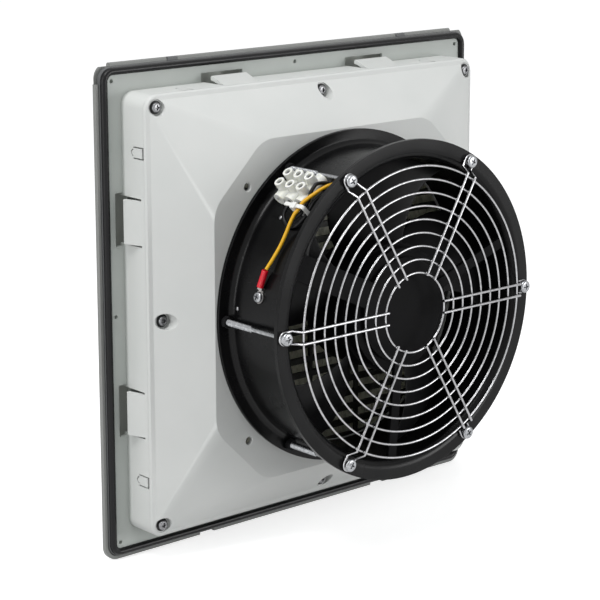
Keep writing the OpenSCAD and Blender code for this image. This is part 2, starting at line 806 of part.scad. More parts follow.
// Rounded band between the parting line and the slopes
module shroud_band(wall) {
    y1 = box_d + band_h;
    hull() {
        square_block(box_half - wall, box_corner_r - wall, box_d, box_d + slice);
        square_block(box_half - wall - band_in * 0.3, box_corner_r - wall, y1 - band_h * 0.35, y1 - band_h * 0.35 + slice);
        square_block(cone_half - wall, cone_corner_r - wall / 2, y1 - slice, y1);
    }
}

module rear_shroud() {
    color(shell_grey) difference() {
        union() {
            difference() {
                union() {
                    shroud_band(0);
                    shroud_form(0, pad_y);
                }
                square_block(box_in_half, box_in_r, box_d - cut, box_d + slice);
                shroud_band(shroud_wall);
                shroud_form(shroud_wall, pad_y - shroud_wall);
            }
            intersection() {
                union() for (p = shroud_screw_places) translate([p.x, 0, p.z]) rod(pocket_r + shroud_wall, box_d, pad_y);
                union() {
                    shroud_band(0);
                    shroud_form(0, pad_y);
                }
            }
            for (p = shroud_screw_places) translate([p.x, 0, p.z]) rod(pocket_r, box_d, p.y);
            for (i = [0:fan_screw_count - 1]) at_angle(i * fan_screw_step) translate([fan_screw_r, 0, 0])
                rod(nose_boss_r, pad_y - shroud_wall - nose_boss_h, pad_y - shroud_wall + hair);
        }
        for (p = shroud_screw_places) translate([p.x, 0, p.z]) {
            rod(pocket_r, p.y, pad_y);
            rod(screw_shank_r + screw_clear, box_d - cut, p.y + cut);
        }
        rod(throat_r, box_d, pad_y + cut);
        for (i = [0:fan_screw_count - 1]) at_angle(i * fan_screw_step) translate([fan_screw_r, 0, 0])
            rod(fan_bolt_r + hair, pad_y - shroud_wall - nose_boss_h - cut, pad_y + cut);
        for (sx = [-1, 1], sz = [-1, 1]) translate([sx * pad_hole_dx / 2, 0, sz * pad_hole_dz / 2]) {
            rod(pad_hole_d / 2, box_d, pad_y + cut);
            translate([0, pad_y - pad_chamfer, 0]) along_y()
                cylinder(r1 = pad_hole_d / 2, r2 = pad_hole_d / 2 + 2 * pad_chamfer, h = 2 * pad_chamfer);
        }
    }
}

module shroud_screw(i) {
    p = shroud_screw_places[i - 1];
    seat = p.y + washer_t;
    color(zinc) translate([p.x, 0, p.z]) {
        pan_head(screw_head_r, screw_head_h, seat);
        rod(screw_shank_r, seat - shroud_screw_len, seat + hair);
    }
}

module shroud_washers() {
    color(fan_black) for (p = shroud_screw_places) translate([p.x, 0, p.z]) difference() {
        rod(washer_r, p.y, p.y + washer_t);
        rod(screw_shank_r + screw_clear, p.y - cut, p.y + cut);
    }
}

module fan_housing() {
    color(fan_black) difference() {
        along_y() rotate_extrude($fn = 128) housing_profile();
        for (i = [0:fan_screw_count - 1]) at_angle(i * fan_screw_step) translate([fan_screw_r, 0, 0]) {
            rod(fan_bolt_r + screw_clear, pad_y - cut, far_back_y + flange_fillet);
            rod(fan_bolt_r + screw_clear, near_back_y - flange_fillet, near_y + cut);
            rod(nut_r + fit, far_back_y, far_back_y + flange_fillet);
        }
        lead_slot();
        at_angle(earth_a) translate([barrel_r, earth_y, 0]) rotate([0, 90, 0])
            cylinder(r = lug_hole_r - screw_clear + hair, h = 4 * barrel_wall, center = true);
    }
}

// Half section of the barrel: two flanges, fillets behind them, a rounded outlet
module housing_profile() {
    difference() {
        union() {
            translate([throat_r, pad_y]) square([barrel_wall, fan_d]);
            translate([throat_r, pad_y]) square([fan_r - throat_r, far_flange_t]);
            translate([throat_r, near_back_y]) square([fan_r - throat_r, near_flange_t]);
            translate([barrel_r - hair, far_back_y - hair]) corner_fillet(flange_fillet, 1);
            translate([barrel_r - hair, near_back_y + hair]) corner_fillet(bell_r, -1);
        }
        translate([throat_r, near_y]) corner_fillet(bell_r, -1);
    }
}

// Concave fillet in the corner of a flange and the barrel; side 1 opens upward
module corner_fillet(r, side) {
    scale([1, side]) difference() {
        square([r, r]);
        translate([r, r]) circle(r);
    }
}

// Slot in the barrel through which the leads come out
module lead_slot() {
    at_angle(slot_a) translate([barrel_r - 2 * barrel_wall, mid_y + slot_high, 0]) rotate([0, 90, 0])
        linear_extrude(4 * barrel_wall) {
            for (s = [-1, 1]) translate([s * slot_len / 2, 0]) circle(slot_r);
            square([slot_len, 2 * slot_r], center = true);
        }
}

module fan_screw(i) {
    seat = near_y + arm_wire_d;
    color(zinc) at_angle((i - 1) * fan_screw_step) translate([fan_screw_r, 0, 0]) {
        pan_head(fan_head_r, fan_head_h, seat);
        rod(fan_bolt_r, fan_bolt_tip_y, seat + hair);
    }
}

module fan_nut(i) {
    color(fan_black) at_angle((i - 1) * fan_screw_step) translate([fan_screw_r, 0, 0]) difference() {
        translate([0, far_back_y, 0]) along_y() cylinder(r = nut_r, h = nut_h, $fn = 6);
        rod(fan_bolt_r + hair, far_back_y - cut, far_back_y + nut_h + cut);
    }
}

module guard_rings() {
    color(zinc) for (i = [0:ring_count - 1]) {
        translate([0, ring_y, 0]) along_y() rotate_extrude($fn = 96)
            translate([ring_first_r + i * ring_pitch, 0]) circle(ring_wire_d / 2, $fn = 16);
    }
}

module guard_arms() {
    color(zinc) for (i = [0:fan_screw_count - 1]) at_angle(i * fan_screw_step) guard_arm();
}

// One hairpin: two long wires, a step down and an eye round the screw
module guard_arm() {
    half = arm_pair / 2;
    for (s = [-1, 1]) {
        wire([arm_in_r, arm_y, s * half], [arm_bend_r, arm_y, s * half]);
        wire([arm_bend_r, arm_y, s * half], [arm_foot_r, arm_low_y, s * half]);
        wire([arm_foot_r, arm_low_y, s * half], [fan_screw_r, arm_low_y, s * half]);
    }
    translate([fan_screw_r, arm_low_y, 0]) along_y() rotate([0, 0, -90])
        rotate_extrude(angle = 180) translate([half, 0]) circle(arm_wire_d / 2, $fn = 16);
}

// A straight wire with round ends
module wire(a, b) {
    d = b - a;
    translate(a) rotate([0, acos(d.z / norm(d)), atan2(d.y, d.x)]) cylinder(d = arm_wire_d, h = norm(d), $fn = 16);
    translate(b) sphere(d = arm_wire_d, $fn = 16);
}

module motor_bracket() {
    color(fan_black) union() {
        rod(bracket_r, strut_y, strut_y + strut_t);
        for (a = strut_angles) at_angle(a) strut(strut_w);
        at_angle(cable_strut_a) strut(cable_strut_w);
    }
}

// Strut from the bracket's disc to the air way's wall, whose curve its end follows
module strut(w) {
    intersection() {
        translate([bracket_r / 2, strut_y, -w / 2]) cube([throat_r - bracket_r / 2, strut_t, w]);
        rotate([0, 45, 0]) rod(throat_r - hair, strut_y - cut, strut_y + strut_t + cut);
    }
}

module stator() {
    color(fan_black) difference() {
        union() {
            rod(plate_r, plate_y, plate_y + plate_t);
            rod(winding_r, winding_y, plate_y + hair);
        }
        rod(bearing_r + hair / 2, winding_y - cut, shaft_end_y + shaft_end_gap);
    }
}

module bearing(i) {
    y0 = bearing_ys[i - 1];
    color(zinc) difference() {
        rod(bearing_r, y0, y0 + bearing_h);
        rod(shaft_r + bearing_run, y0 - cut, y0 + bearing_h + cut);
    }
}

module motor_shaft() {
    color(zinc) rod(shaft_r, rotor_y + rotor_wall, shaft_end_y);
}

module rotor_hub() {
    inner_r = rotor_r - rotor_wall;
    edge_r = 4;
    color(fan_black) difference() {
        translate([0, rotor_y, 0]) along_y() rotate_extrude($fn = 96) {
            translate([0, edge_r]) square([rotor_r, rotor_h - edge_r]);
            square([rotor_r - edge_r, rotor_h]);
            translate([rotor_r - edge_r, edge_r]) circle(edge_r);
        }
        rod(inner_r, rotor_y + rotor_wall, rotor_end_y + cut);
    }
}

// Point of a blade's middle surface: s runs from rotor to tip, t along the chord
function blade_point(s, t) =
    let (
        r = blade_root_r + s * (blade_tip_r - blade_root_r),
        arc = blade_root_arc + s * (blade_tip_arc - blade_root_arc),
        rise = blade_h * (1 - s * (1 - blade_tip_rise_share)),
        bow = 4 * t * (1 - t) * blade_camber_share * rise,
        a = blade_start + (t - 0.5) * arc + blade_sweep * s * s
    )
    [r, blade_mid_y + (t - 0.5) * rise + bow, a];

// The two faces lie half a thickness to each side, along the axis
function blade_face(side) = [
    for (j = [0:blade_span_steps], k = [0:blade_chord_steps])
        let (
            s = j / blade_span_steps,
            t = k / blade_chord_steps,
            q = blade_point(s, t),
            thin = blade_t * 0.62 * (0.35 + 2.6 * t * (1 - t))
        )
        polar(q[2], q[1] + side * thin, q[0])
];

module impeller_blade(i) {
    n = blade_chord_steps + 1;
    m = blade_span_steps + 1;
    points = concat(blade_face(1), blade_face(-1));
    low = m * n;
    top_faces = [for (j = [0:m - 2], k = [0:n - 2], h = [0, 1]) let (a = j * n + k)
        h == 0 ? [a, a + n, a + 1] : [a + 1, a + n, a + n + 1]];
    low_faces = [for (f = top_faces) [f[0] + low, f[2] + low, f[1] + low]];
    rim = concat([for (k = [0:n - 1]) k], [for (j = [1:m - 1]) j * n + n - 1],
        [for (k = [n - 2:-1:0]) (m - 1) * n + k], [for (j = [m - 2:-1:1]) j * n]);
    rim_faces = [for (i = [0:len(rim) - 1], h = [0, 1]) let (a = rim[i], b = rim[(i + 1) % len(rim)])
        h == 0 ? [a, b, a + low] : [b, b + low, a + low]];
    color([0.07, 0.07, 0.08]) at_angle((i - 1) * 360 / blade_count)
        polyhedron(points, concat(top_faces, low_faces, rim_faces), convexity = 4);
}

// A tube swept along a route of angle, distance and radius
module swept_tube(route, r) {
    pts = [for (q = route) polar(wire_angle(q[0]), mid_y + q[1], barrel_r + q[2])];
    n = len(pts);
    m = lead_sides;
    dirs = [for (i = [0:n - 1]) unit(pts[min(i + 1, n - 1)] - pts[max(i - 1, 0)])];
    rings = [for (i = [0:n - 1]) let (
            across = unit(cross(dirs[i], abs(dirs[i].y) > 0.8 ? [0, 0, 1] : [0, 1, 0])),
            up = cross(across, dirs[i])
        )
        for (k = [0:m - 1]) pts[i] + r * (cos(360 * k / m) * across + sin(360 * k / m) * up)];
    sides = [for (i = [0:n - 2], k = [0:m - 1], h = [0, 1])
        let (a = i * m + k, b = i * m + (k + 1) % m)
        h == 0 ? [a, a + m, b] : [b, a + m, b + m]];
    ends = [[for (k = [0:m - 1]) k], [for (k = [m - 1:-1:0]) (n - 1) * m + k]];
    polyhedron(rings, concat(sides, ends), convexity = 6);
}

module motor_cable() {
    color(fan_black) swept_tube(cable_route, cable_r);
}

module supply_lead(i) {
    color(fan_black) swept_tube(i == 1 ? supply_route_a : supply_route_b, lead_r());
}

module earth_lead() {
    color([0.95, 0.72, 0.10]) swept_tube(earth_route, lead_r());
}

module terminal_block() {
    color(nylon) at_angle(block_a) difference() {
        union() {
            for (k = [0:pole_count - 1]) translate([0, pole_y + k * pole_pitch, 0]) pole();
            translate([barrel_r + fit, pole_y, -web_len / 2]) cube([web_t, (pole_count - 1) * pole_pitch, web_len]);
        }
        for (k = [0:pole_count - 1]) translate([0, pole_y + k * pole_pitch, 0]) pole_bores();
    }
}

// One pole: a tube across the barrel with two screw towers
module pole() {
    translate([pole_x, 0, -pole_len / 2]) cylinder(r = pole_r, h = pole_len);
    translate([barrel_r + fit, -pole_r * 0.8, -pole_len / 2 + 2]) cube([pole_r, pole_r * 1.6, pole_len - 4]);
    for (s = [-1, 1]) translate([pole_x, 0, s * tower_step / 2]) rotate([0, 90, 0])
        cylinder(d = tower_d, h = barrel_r + tower_h - pole_x);
}

module pole_bores() {
    for (s = [-1, 1]) {
        translate([pole_x, 0, s * (pole_len / 2 - bore_deep / 2) - cut / 2 + (s + 1) * cut / 2])
            cylinder(r = bore_r, h = bore_deep + cut, center = true);
        translate([barrel_r + tower_h - clamp_deep, 0, s * tower_step / 2]) rotate([0, 90, 0])
            cylinder(r = clamp_r, h = clamp_deep + cut);
    }
}

module terminal_screws() {
    color(zinc) at_angle(block_a) for (k = [0:pole_count - 1], s = [-1, 1]) {
        translate([barrel_r + tower_h - clamp_deep, pole_y + k * pole_pitch, s * tower_step / 2]) rotate([0, 90, 0])
            difference() {
                cylinder(r = clamp_r - hair, h = 1.6);
                translate([-clamp_r, -0.3, 0.8]) cube([2 * clamp_r, 0.6, cut]);
            }
    }
}

// Tie round the three leads, with its head outward and a cut tail
module cable_tie() {
    held = [
        supply_route_a[14], supply_route_a[15], supply_route_b[13], supply_route_b[14], earth_route[12],
        earth_route[13]
    ];
    y0 = mid_y + min([for (q = held) q[1]]) - lead_r() - tie_hug;
    y1 = mid_y + max([for (q = held) q[1]]) + lead_r() + tie_hug;
    r0 = barrel_r + min([for (q = held) q[2]]) - lead_r() - tie_hug;
    r1 = barrel_r + max([for (q = held) q[2]]) + lead_r() + tie_hug;
    w = y1 - y0;
    h = r1 - r0;
    color(nylon) at_angle(tie_a) {
        translate([(r0 + r1) / 2, (y0 + y1) / 2, -tie_w / 2]) linear_extrude(tie_w) difference() {
            tie_outline(h + 2 * tie_t, w + 2 * tie_t, tie_corner + tie_t);
            tie_outline(h, w, tie_corner);
        }
        translate([r1 - tie_head.x + tie_t, y0 - tie_head.y, -tie_head.z / 2])
            cube([tie_head.x, tie_head.y - tie_t / 2, tie_head.z]);
        translate([r1, y0 - tie_head.y - tie_tail + cut, -tie_w / 2]) cube([tie_t, tie_tail, tie_w]);
    }
}

module tie_outline(h, w, r) {
    square([h, w - 2 * r], center = true);
    square([h - 2 * r, w], center = true);
    for (sx = [-1, 1], sy = [-1, 1]) translate([sx * (h / 2 - r), sy * (w / 2 - r)]) circle(r);
}

// Carries the earth point's pieces: origin on the barrel, +Z toward the lead
module at_earth() {
    at_angle(earth_a) translate([barrel_r + fit, earth_y, 0]) rotate([-sleeve_tilt, 0, 0]) children();
}

module ring_lug() {
    color(zinc) at_earth() {
        difference() {
            union() {
                rotate([0, 90, 0]) cylinder(r = lug_r, h = lug_t);
                translate([0, -lug_neck_w / 2, 0]) cube([lug_t, lug_neck_w, sleeve_at - cut]);
            }
            translate([-cut, 0, 0]) rotate([0, 90, 0]) cylinder(r = lug_hole_r, h = lug_t + 2 * cut);
        }
        translate([0, -lug_neck_w / 2, sleeve_at - cut - lug_t]) cube([sleeve_x, lug_neck_w, lug_t + cut - hair]);
    }
}

module lug_sleeve() {
    color([0.82, 0.05, 0.10]) at_earth() translate([sleeve_x, 0, sleeve_at]) cylinder(r = sleeve_r, h = sleeve_len);
}

module earth_screw() {
    color(zinc) at_earth() rotate([0, 0, -90]) {
        pan_head(earth_head_r, earth_head_h, lug_t);
        rod(lug_hole_r - screw_clear, -barrel_wall - cut, lug_t + hair);
    }
}

mounting_frame();
panel_gasket();
front_cover();
hinge_pin(1);  // hinge_pin_1
hinge_pin(2);  // hinge_pin_2
filter_mat();
mat_support_grid();
rear_shroud();
shroud_washers();
fan_housing();
guard_rings();
guard_arms();
motor_bracket();
stator();
bearing(1);  // bearing_1
bearing(2);  // bearing_2
motor_shaft();
rotor_hub();
motor_cable();
terminal_block();
terminal_screws();
supply_lead(1);  // supply_lead_1
supply_lead(2);  // supply_lead_2
earth_lead();
cable_tie();
lug_sleeve();
ring_lug();
earth_screw();
for (i = [1:len(shroud_screw_names)]) shroud_screw(i);
for (i = [1:fan_screw_count]) fan_screw(i);
for (i = [1:fan_screw_count]) fan_nut(i);
for (i = [1:blade_count]) impeller_blade(i);
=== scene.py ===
import math

import bmesh
import bpy
import numpy as np
from mathutils import Matrix, Vector


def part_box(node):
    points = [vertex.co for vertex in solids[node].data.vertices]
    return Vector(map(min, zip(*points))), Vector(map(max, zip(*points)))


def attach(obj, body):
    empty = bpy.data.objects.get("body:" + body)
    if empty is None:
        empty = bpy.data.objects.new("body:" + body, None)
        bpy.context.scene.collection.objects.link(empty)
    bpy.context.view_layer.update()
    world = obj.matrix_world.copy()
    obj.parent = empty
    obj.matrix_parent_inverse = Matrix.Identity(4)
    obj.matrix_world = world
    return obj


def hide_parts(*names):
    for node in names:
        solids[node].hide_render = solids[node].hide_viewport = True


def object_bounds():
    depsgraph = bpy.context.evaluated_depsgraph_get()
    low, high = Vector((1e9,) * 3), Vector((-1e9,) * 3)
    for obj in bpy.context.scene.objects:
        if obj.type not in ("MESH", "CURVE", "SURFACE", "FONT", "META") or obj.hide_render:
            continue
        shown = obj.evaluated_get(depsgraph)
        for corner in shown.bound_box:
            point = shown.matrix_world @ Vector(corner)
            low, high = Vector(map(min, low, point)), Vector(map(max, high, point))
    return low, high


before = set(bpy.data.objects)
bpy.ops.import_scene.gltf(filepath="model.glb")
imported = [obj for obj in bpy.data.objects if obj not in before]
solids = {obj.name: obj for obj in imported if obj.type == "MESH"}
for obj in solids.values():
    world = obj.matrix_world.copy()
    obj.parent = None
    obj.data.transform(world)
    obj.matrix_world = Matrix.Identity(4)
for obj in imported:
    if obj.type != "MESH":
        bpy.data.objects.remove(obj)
solids_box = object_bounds()
MM = 0.001

# Sizes shared with the part's source, in mm

NEAR_Y = 110.9
MID_Y = 81.3
BARREL_R = 100.8
LEAD_R = 1.2
CABLE_R = 3.0
RIVET_PLACES = ((40.8, 74.0), (4.8, 60.0), (160.0, 74.0), (280.0, 74.0))

# Fan screws and their nuts
FAN_SCREWS = 6
FAN_SCREW_R = 105.5
FAN_SCREW_SEAT = NEAR_Y + 1.7
FAN_SCREW_L = 67.6
FAN_SCREW_THREAD = (-55.0, -31.5)
NUT_Y = 54.7
NUT_ACROSS = 7.0
NUT_H = 3.2
NUT_HOLE_R = 2.05

# Shroud screws: distance from the middle and height of their seats, at the corners and at the sides
CORNER_SCREW, CORNER_SEAT_Y = 135.3, 24.2
SIDE_SCREW, SIDE_SEAT_Y = 133.9, 25.7
SHROUD_SCREWS = [(sx * CORNER_SCREW, CORNER_SEAT_Y, sz * CORNER_SCREW) for sx in (-1, 1) for sz in (-1, 1)]
SHROUD_SCREWS += [(SIDE_SCREW, SIDE_SEAT_Y, 0), (0, SIDE_SEAT_Y, SIDE_SCREW),
                  (-SIDE_SCREW, SIDE_SEAT_Y, 0), (0, SIDE_SEAT_Y, -SIDE_SCREW)]
WASHER_R = 4.28
WASHER_T = 0.5

# Guard wires
GUARD_ARMS = 6
GUARD_RINGS = 9
GUARD_FIRST_R = 26
GUARD_PITCH = 8.6
GUARD_HALF_PAIR = 3.9
GUARD_WELD_Y = 116.7 + 0.78

# Impeller blades, as in the source
BLADES = 5
BLADE_ROOT_R, BLADE_TIP_R = 42.05, 96.2
BLADE_MID_Y, BLADE_H, BLADE_T = 76.5, 29.0, 1.6
BLADE_ROOT_ARC, BLADE_TIP_ARC = 46, 43
BLADE_SWEEP, BLADE_START = 16, 12
BLADE_TIP_RISE_SHARE, BLADE_CAMBER_SHARE = 0.72, 0.10

# Gasket: distance of its middle from the part's middle, width, height, corner
GASKET_AT, GASKET_W, GASKET_H, GASKET_CORNER = 156.5, 4.8, 3.0, 4.0

# Where the flange's plain corner ends and its dark rim begins and is full
FLANGE_PLAIN, RIM_FROM, RIM_FULL = 151.1, 157.5, 158.2

# Lead routes, as in the source: distance along the barrel from the second fan screw, distance past the middle
# between the flanges, height above the barrel
CABLE_ROUTE = [
    (0.35, 16, -6), (-10.56, 16.7, -6), (-22.87, 17.5, -6), (-35.19, 18.3, -6.2), (-45.74, 18.7, -6.8),
    (-53.66, 18.8, -9.2), (-58.76, 18.8, -13.8), (-60.87, 18.8, -19.8), (-61.58, 18.8, -26.8),
    (-61.58, 18.8, -40.8), (-61.58, 18.8, -60.4)]
SUPPLY_ROUTE_A = [
    (1.06, 14.7, -6.6), (3.17, 14.1, -5.6), (5.28, 13.6, -4), (6.33, 13.3, -2), (5.98, 13.3, -0.2),
    (4.22, 13.3, 1), (0, 13.4, 1.3), (-2.81, 13.9, 1.9), (-5.63, 14.2, 4.8), (-10.56, 14.3, 9),
    (-14.07, 14.3, 9.4), (-17.59, 14.2, 8.4), (-21.11, 14.1, 6.4), (-24.63, 13.4, 4.9),
    (-27.09, 13, 4.5), (-29.91, 13, 4.3), (-32.37, 11.6, 4.2), (-33.78, 10, 4.2), (-32.9, 8.4, 4.3),
    (-29.03, 8.2, 4.4), (-23.57, 8.2, 4.6)]
SUPPLY_ROUTE_B = [
    (1.06, 17.3, -6.6), (3.17, 17.9, -5.6), (5.28, 18.5, -4), (6.33, 18.7, -2), (5.98, 18.7, -0.2),
    (4.22, 18.7, 1), (0, 18.7, 1.3), (-4.4, 19.3, 1.6), (-8.8, 19.1, 2.2), (-13.19, 17.9, 3.2),
    (-17.59, 16.7, 3.8), (-21.11, 16, 3.6), (-24.63, 15.9, 3), (-27.09, 15.7, 2.6), (-29.91, 15.6, 2.4),
    (-32.55, 14.7, 1.9), (-36.95, 12.2, 1.6), (-38.7, 8.7, 1.5), (-38.7, 4.7, 1.6), (-36.95, 1.2, 2.2),
    (-33.43, -1.3, 3.6), (-29.03, -1.8, 4.4), (-23.57, -1.8, 4.6)]
EARTH_ROUTE = [
    (1.06, 16, -4.3), (3.17, 16, -3.4), (4.57, 16, -2), (4.93, 16, -0.4), (3.52, 16, 1), (0, 16, 1.3),
    (-3.52, 17.1, 2.4), (-7.92, 17.8, 4.8), (-13.19, 17.6, 6.8), (-17.59, 16.8, 7.8),
    (-21.11, 15.6, 8.4), (-24.63, 13.6, 8.3), (-27.09, 12.9, 7.9), (-29.91, 12.7, 7.6),
    (-32.55, 11.3, 7), (-37.82, 9.7, 5.2), (-43.98, 8.7, 3.4), (-52.78, 7.5, 2.4), (-61.58, 5.7, 2.8),
    (-68.61, 3.8, 3.8)]


# Node helpers

def node(tree, kind, sockets=None, **settings):
    made = tree.nodes.new(kind)
    for key, value in settings.items():
        setattr(made, key, value)
    for key, value in (sockets or {}).items():
        if isinstance(value, bpy.types.NodeSocket):
            tree.links.new(value, made.inputs[key])
        else:
            made.inputs[key].default_value = value
    return made


def math_node(tree, operation, *values):
    made = node(tree, "ShaderNodeMath", operation=operation)
    for i, value in enumerate(values):
        if isinstance(value, bpy.types.NodeSocket):
            tree.links.new(value, made.inputs[i])
        else:
            made.inputs[i].default_value = value
    return made.outputs[0]


def span(tree, value, low, high, to_low=0.0, to_high=1.0):
    made = node(tree, "ShaderNodeMapRange", {"Value": value, "From Min": low, "From Max": high,
                                             "To Min": to_low, "To Max": to_high})
    made.clamp = True
    return made.outputs["Result"]


def shared_group(name, inputs, outputs):
    tree = bpy.data.node_groups.new(name, "ShaderNodeTree")
    for label, kind, value in inputs:
        socket = tree.interface.new_socket(label, in_out="INPUT", socket_type=kind)
        if value is not None:
            socket.default_value = value
    for label, kind in outputs:
        tree.interface.new_socket(label, in_out="OUTPUT", socket_type=kind)
    return tree, tree.nodes.new("NodeGroupInput").outputs, tree.nodes.new("NodeGroupOutput").inputs


FLOAT, VECTOR = "NodeSocketFloat", "NodeSocketVector"


# Fine moulded grain and a broad, faint cloud of shade, as on injection-moulded housings
def moulded_skin_group():
    tree, given, result = shared_group(
        "moulded_skin",
        [("Vector", VECTOR, None), ("Grain Size", FLOAT, 0.0006), ("Cloud Size", FLOAT, 0.05)],
        [("Height", FLOAT), ("Cloud", FLOAT)])
    grain = node(tree, "ShaderNodeTexNoise", {
        "Vector": given["Vector"], "Scale": math_node(tree, "DIVIDE", 1.0, given["Grain Size"]),
        "Detail": 3.0, "Roughness": 0.6})
    cloud = node(tree, "ShaderNodeTexNoise", {
        "Vector": given["Vector"], "Scale": math_node(tree, "DIVIDE", 1.0, given["Cloud Size"]),
        "Detail": 4.0, "Roughness": 0.5})
    tree.links.new(grain.outputs["Fac"], result["Height"])
    tree.links.new(span(tree, cloud.outputs["Fac"], 0.3, 0.7), result["Cloud"])
    return tree


# Rounded light on sharp edges, and a broken mask along the edges for a painted highlight
def edge_round_and_highlight_group():
    tree, given, result = shared_group(
        "edge_round_and_highlight",
        [("Vector", VECTOR, None), ("Radius", FLOAT, 0.0005), ("Break Size", FLOAT, 0.004)],
        [("Normal", VECTOR), ("Painted Highlight", FLOAT)])
    round_edge = node(tree, "ShaderNodeBevel", {"Radius": given["Radius"]}, samples=4)
    true_side = node(tree, "ShaderNodeNewGeometry")
    turn = node(tree, "ShaderNodeVectorMath", operation="DOT_PRODUCT")
    tree.links.new(round_edge.outputs["Normal"], turn.inputs[0])
    tree.links.new(true_side.outputs["Normal"], turn.inputs[1])
    edge = span(tree, turn.outputs["Value"], 0.80, 0.985, 1.0, 0.0)
    breaks = node(tree, "ShaderNodeTexNoise", {
        "Vector": given["Vector"], "Scale": math_node(tree, "DIVIDE", 1.0, given["Break Size"]),
        "Detail": 5.0})
    tree.links.new(round_edge.outputs["Normal"], result["Normal"])
    broken = span(tree, breaks.outputs["Fac"], 0.42, 0.6)
    tree.links.new(math_node(tree, "MULTIPLY", edge, broken), result["Painted Highlight"])
    return tree


# Small cloudiness and drawing lines of plated wire and sheet
def plated_skin_group():
    tree, given, result = shared_group(
        "plated_skin",
        [("Vector", VECTOR, None), ("Size", FLOAT, 0.003)],
        [("Dullness", FLOAT), ("Height", FLOAT)])
    cloud = node(tree, "ShaderNodeTexNoise", {
        "Vector": given["Vector"], "Scale": math_node(tree, "DIVIDE", 1.0, given["Size"]), "Detail": 6.0,
        "Roughness": 0.7})
    pits = node(tree, "ShaderNodeTexNoise", {
        "Vector": given["Vector"], "Scale": math_node(tree, "DIVIDE", 6.0, given["Size"]), "Detail": 2.0})
    tree.links.new(span(tree, cloud.outputs["Fac"], 0.35, 0.65), result["Dullness"])
    tree.links.new(pits.outputs["Fac"], result["Height"])
    return tree


# Tangled fibres: thin crossing lines at three turns, and a mask of the open pores between them, where painted
# shade goes
def fibre_tangle_group():
    tree, given, result = shared_group(
        "fibre_tangle",
        [("Vector", VECTOR, None), ("Fibre Size", FLOAT, 0.0025)],
        [("Height", FLOAT), ("Pore Shade", FLOAT), ("Tint", FLOAT)])
    bend = node(tree, "ShaderNodeTexNoise", {"Vector": given["Vector"], "Scale": 90.0, "Detail": 2.0})
    total = None
    for turn in ((0.3, 0.1, 0.2), (1.4, 0.5, 1.1), (2.3, 1.2, 2.6)):
        turned = node(tree, "ShaderNodeMapping", {"Vector": given["Vector"], "Rotation": turn,
                                                  "Scale": (1.0, 1.0, 0.16)})
        strands = node(tree, "ShaderNodeTexVoronoi", {
            "Vector": turned.outputs["Vector"], "Scale": math_node(tree, "DIVIDE", 1.0, given["Fibre Size"])},
            feature="DISTANCE_TO_EDGE")
        line = span(tree, strands.outputs["Distance"], 0.02, 0.16, 1.0, 0.0)
        total = line if total is None else math_node(tree, "MAXIMUM", total, line)
    tree.links.new(total, result["Height"])
    tree.links.new(math_node(tree, "SUBTRACT", 1.0, total), result["Pore Shade"])
    tree.links.new(span(tree, bend.outputs["Fac"], 0.3, 0.7), result["Tint"])
    return tree


MOULDED_SKIN = moulded_skin_group()
EDGE_ROUND_AND_HIGHLIGHT = edge_round_and_highlight_group()
PLATED_SKIN = plated_skin_group()
FIBRE_TANGLE = fibre_tangle_group()


def new_material(name):
    material = bpy.data.materials.new(name)
    material.use_nodes = True
    tree = material.node_tree
    tree.nodes.clear()
    place = node(tree, "ShaderNodeTexCoord").outputs["Object"]
    shader = node(tree, "ShaderNodeBsdfPrincipled")
    out = node(tree, "ShaderNodeOutputMaterial", {"Surface": shader.outputs["BSDF"]})
    return material, tree, place, shader, out


def placed_group(tree, group, sockets):
    return node(tree, "ShaderNodeGroup", sockets, node_tree=group)


def mix_colour(tree, factor, a, b):
    made = node(tree, "ShaderNodeMix", data_type="RGBA")
    for socket, value in ((made.inputs[0], factor), (made.inputs[6], a), (made.inputs[7], b)):
        if isinstance(value, bpy.types.NodeSocket):
            tree.links.new(value, socket)
        else:
            socket.default_value = value if not isinstance(value, tuple) else (*value, 1.0)[:4]
    return made.outputs[2]


# 1 on the cover's inner faces beside the louvre field, 0 elsewhere: the mask for the painted light on those
# faces
def inside_of_cover(tree, place):
    axes = node(tree, "ShaderNodeSeparateXYZ", {"Vector": place}).outputs
    across = math_node(tree, "MAXIMUM", *(math_node(tree, "ABSOLUTE", axes[k]) for k in "XZ"))
    sloped = math_node(tree, "SUBTRACT", across, axes["Y"])
    inner = math_node(tree, "MULTIPLY", span(tree, sloped, 0.1616, 0.1624, 1.0, 0.0),
                      span(tree, across, 0.1265, 0.1275))
    inner = math_node(tree, "MULTIPLY", inner, span(tree, axes["Y"], -0.0128, -0.0124))
    return math_node(tree, "MULTIPLY", inner, span(tree, axes["Y"], -0.0048, -0.0042, 1.0, 0.0))
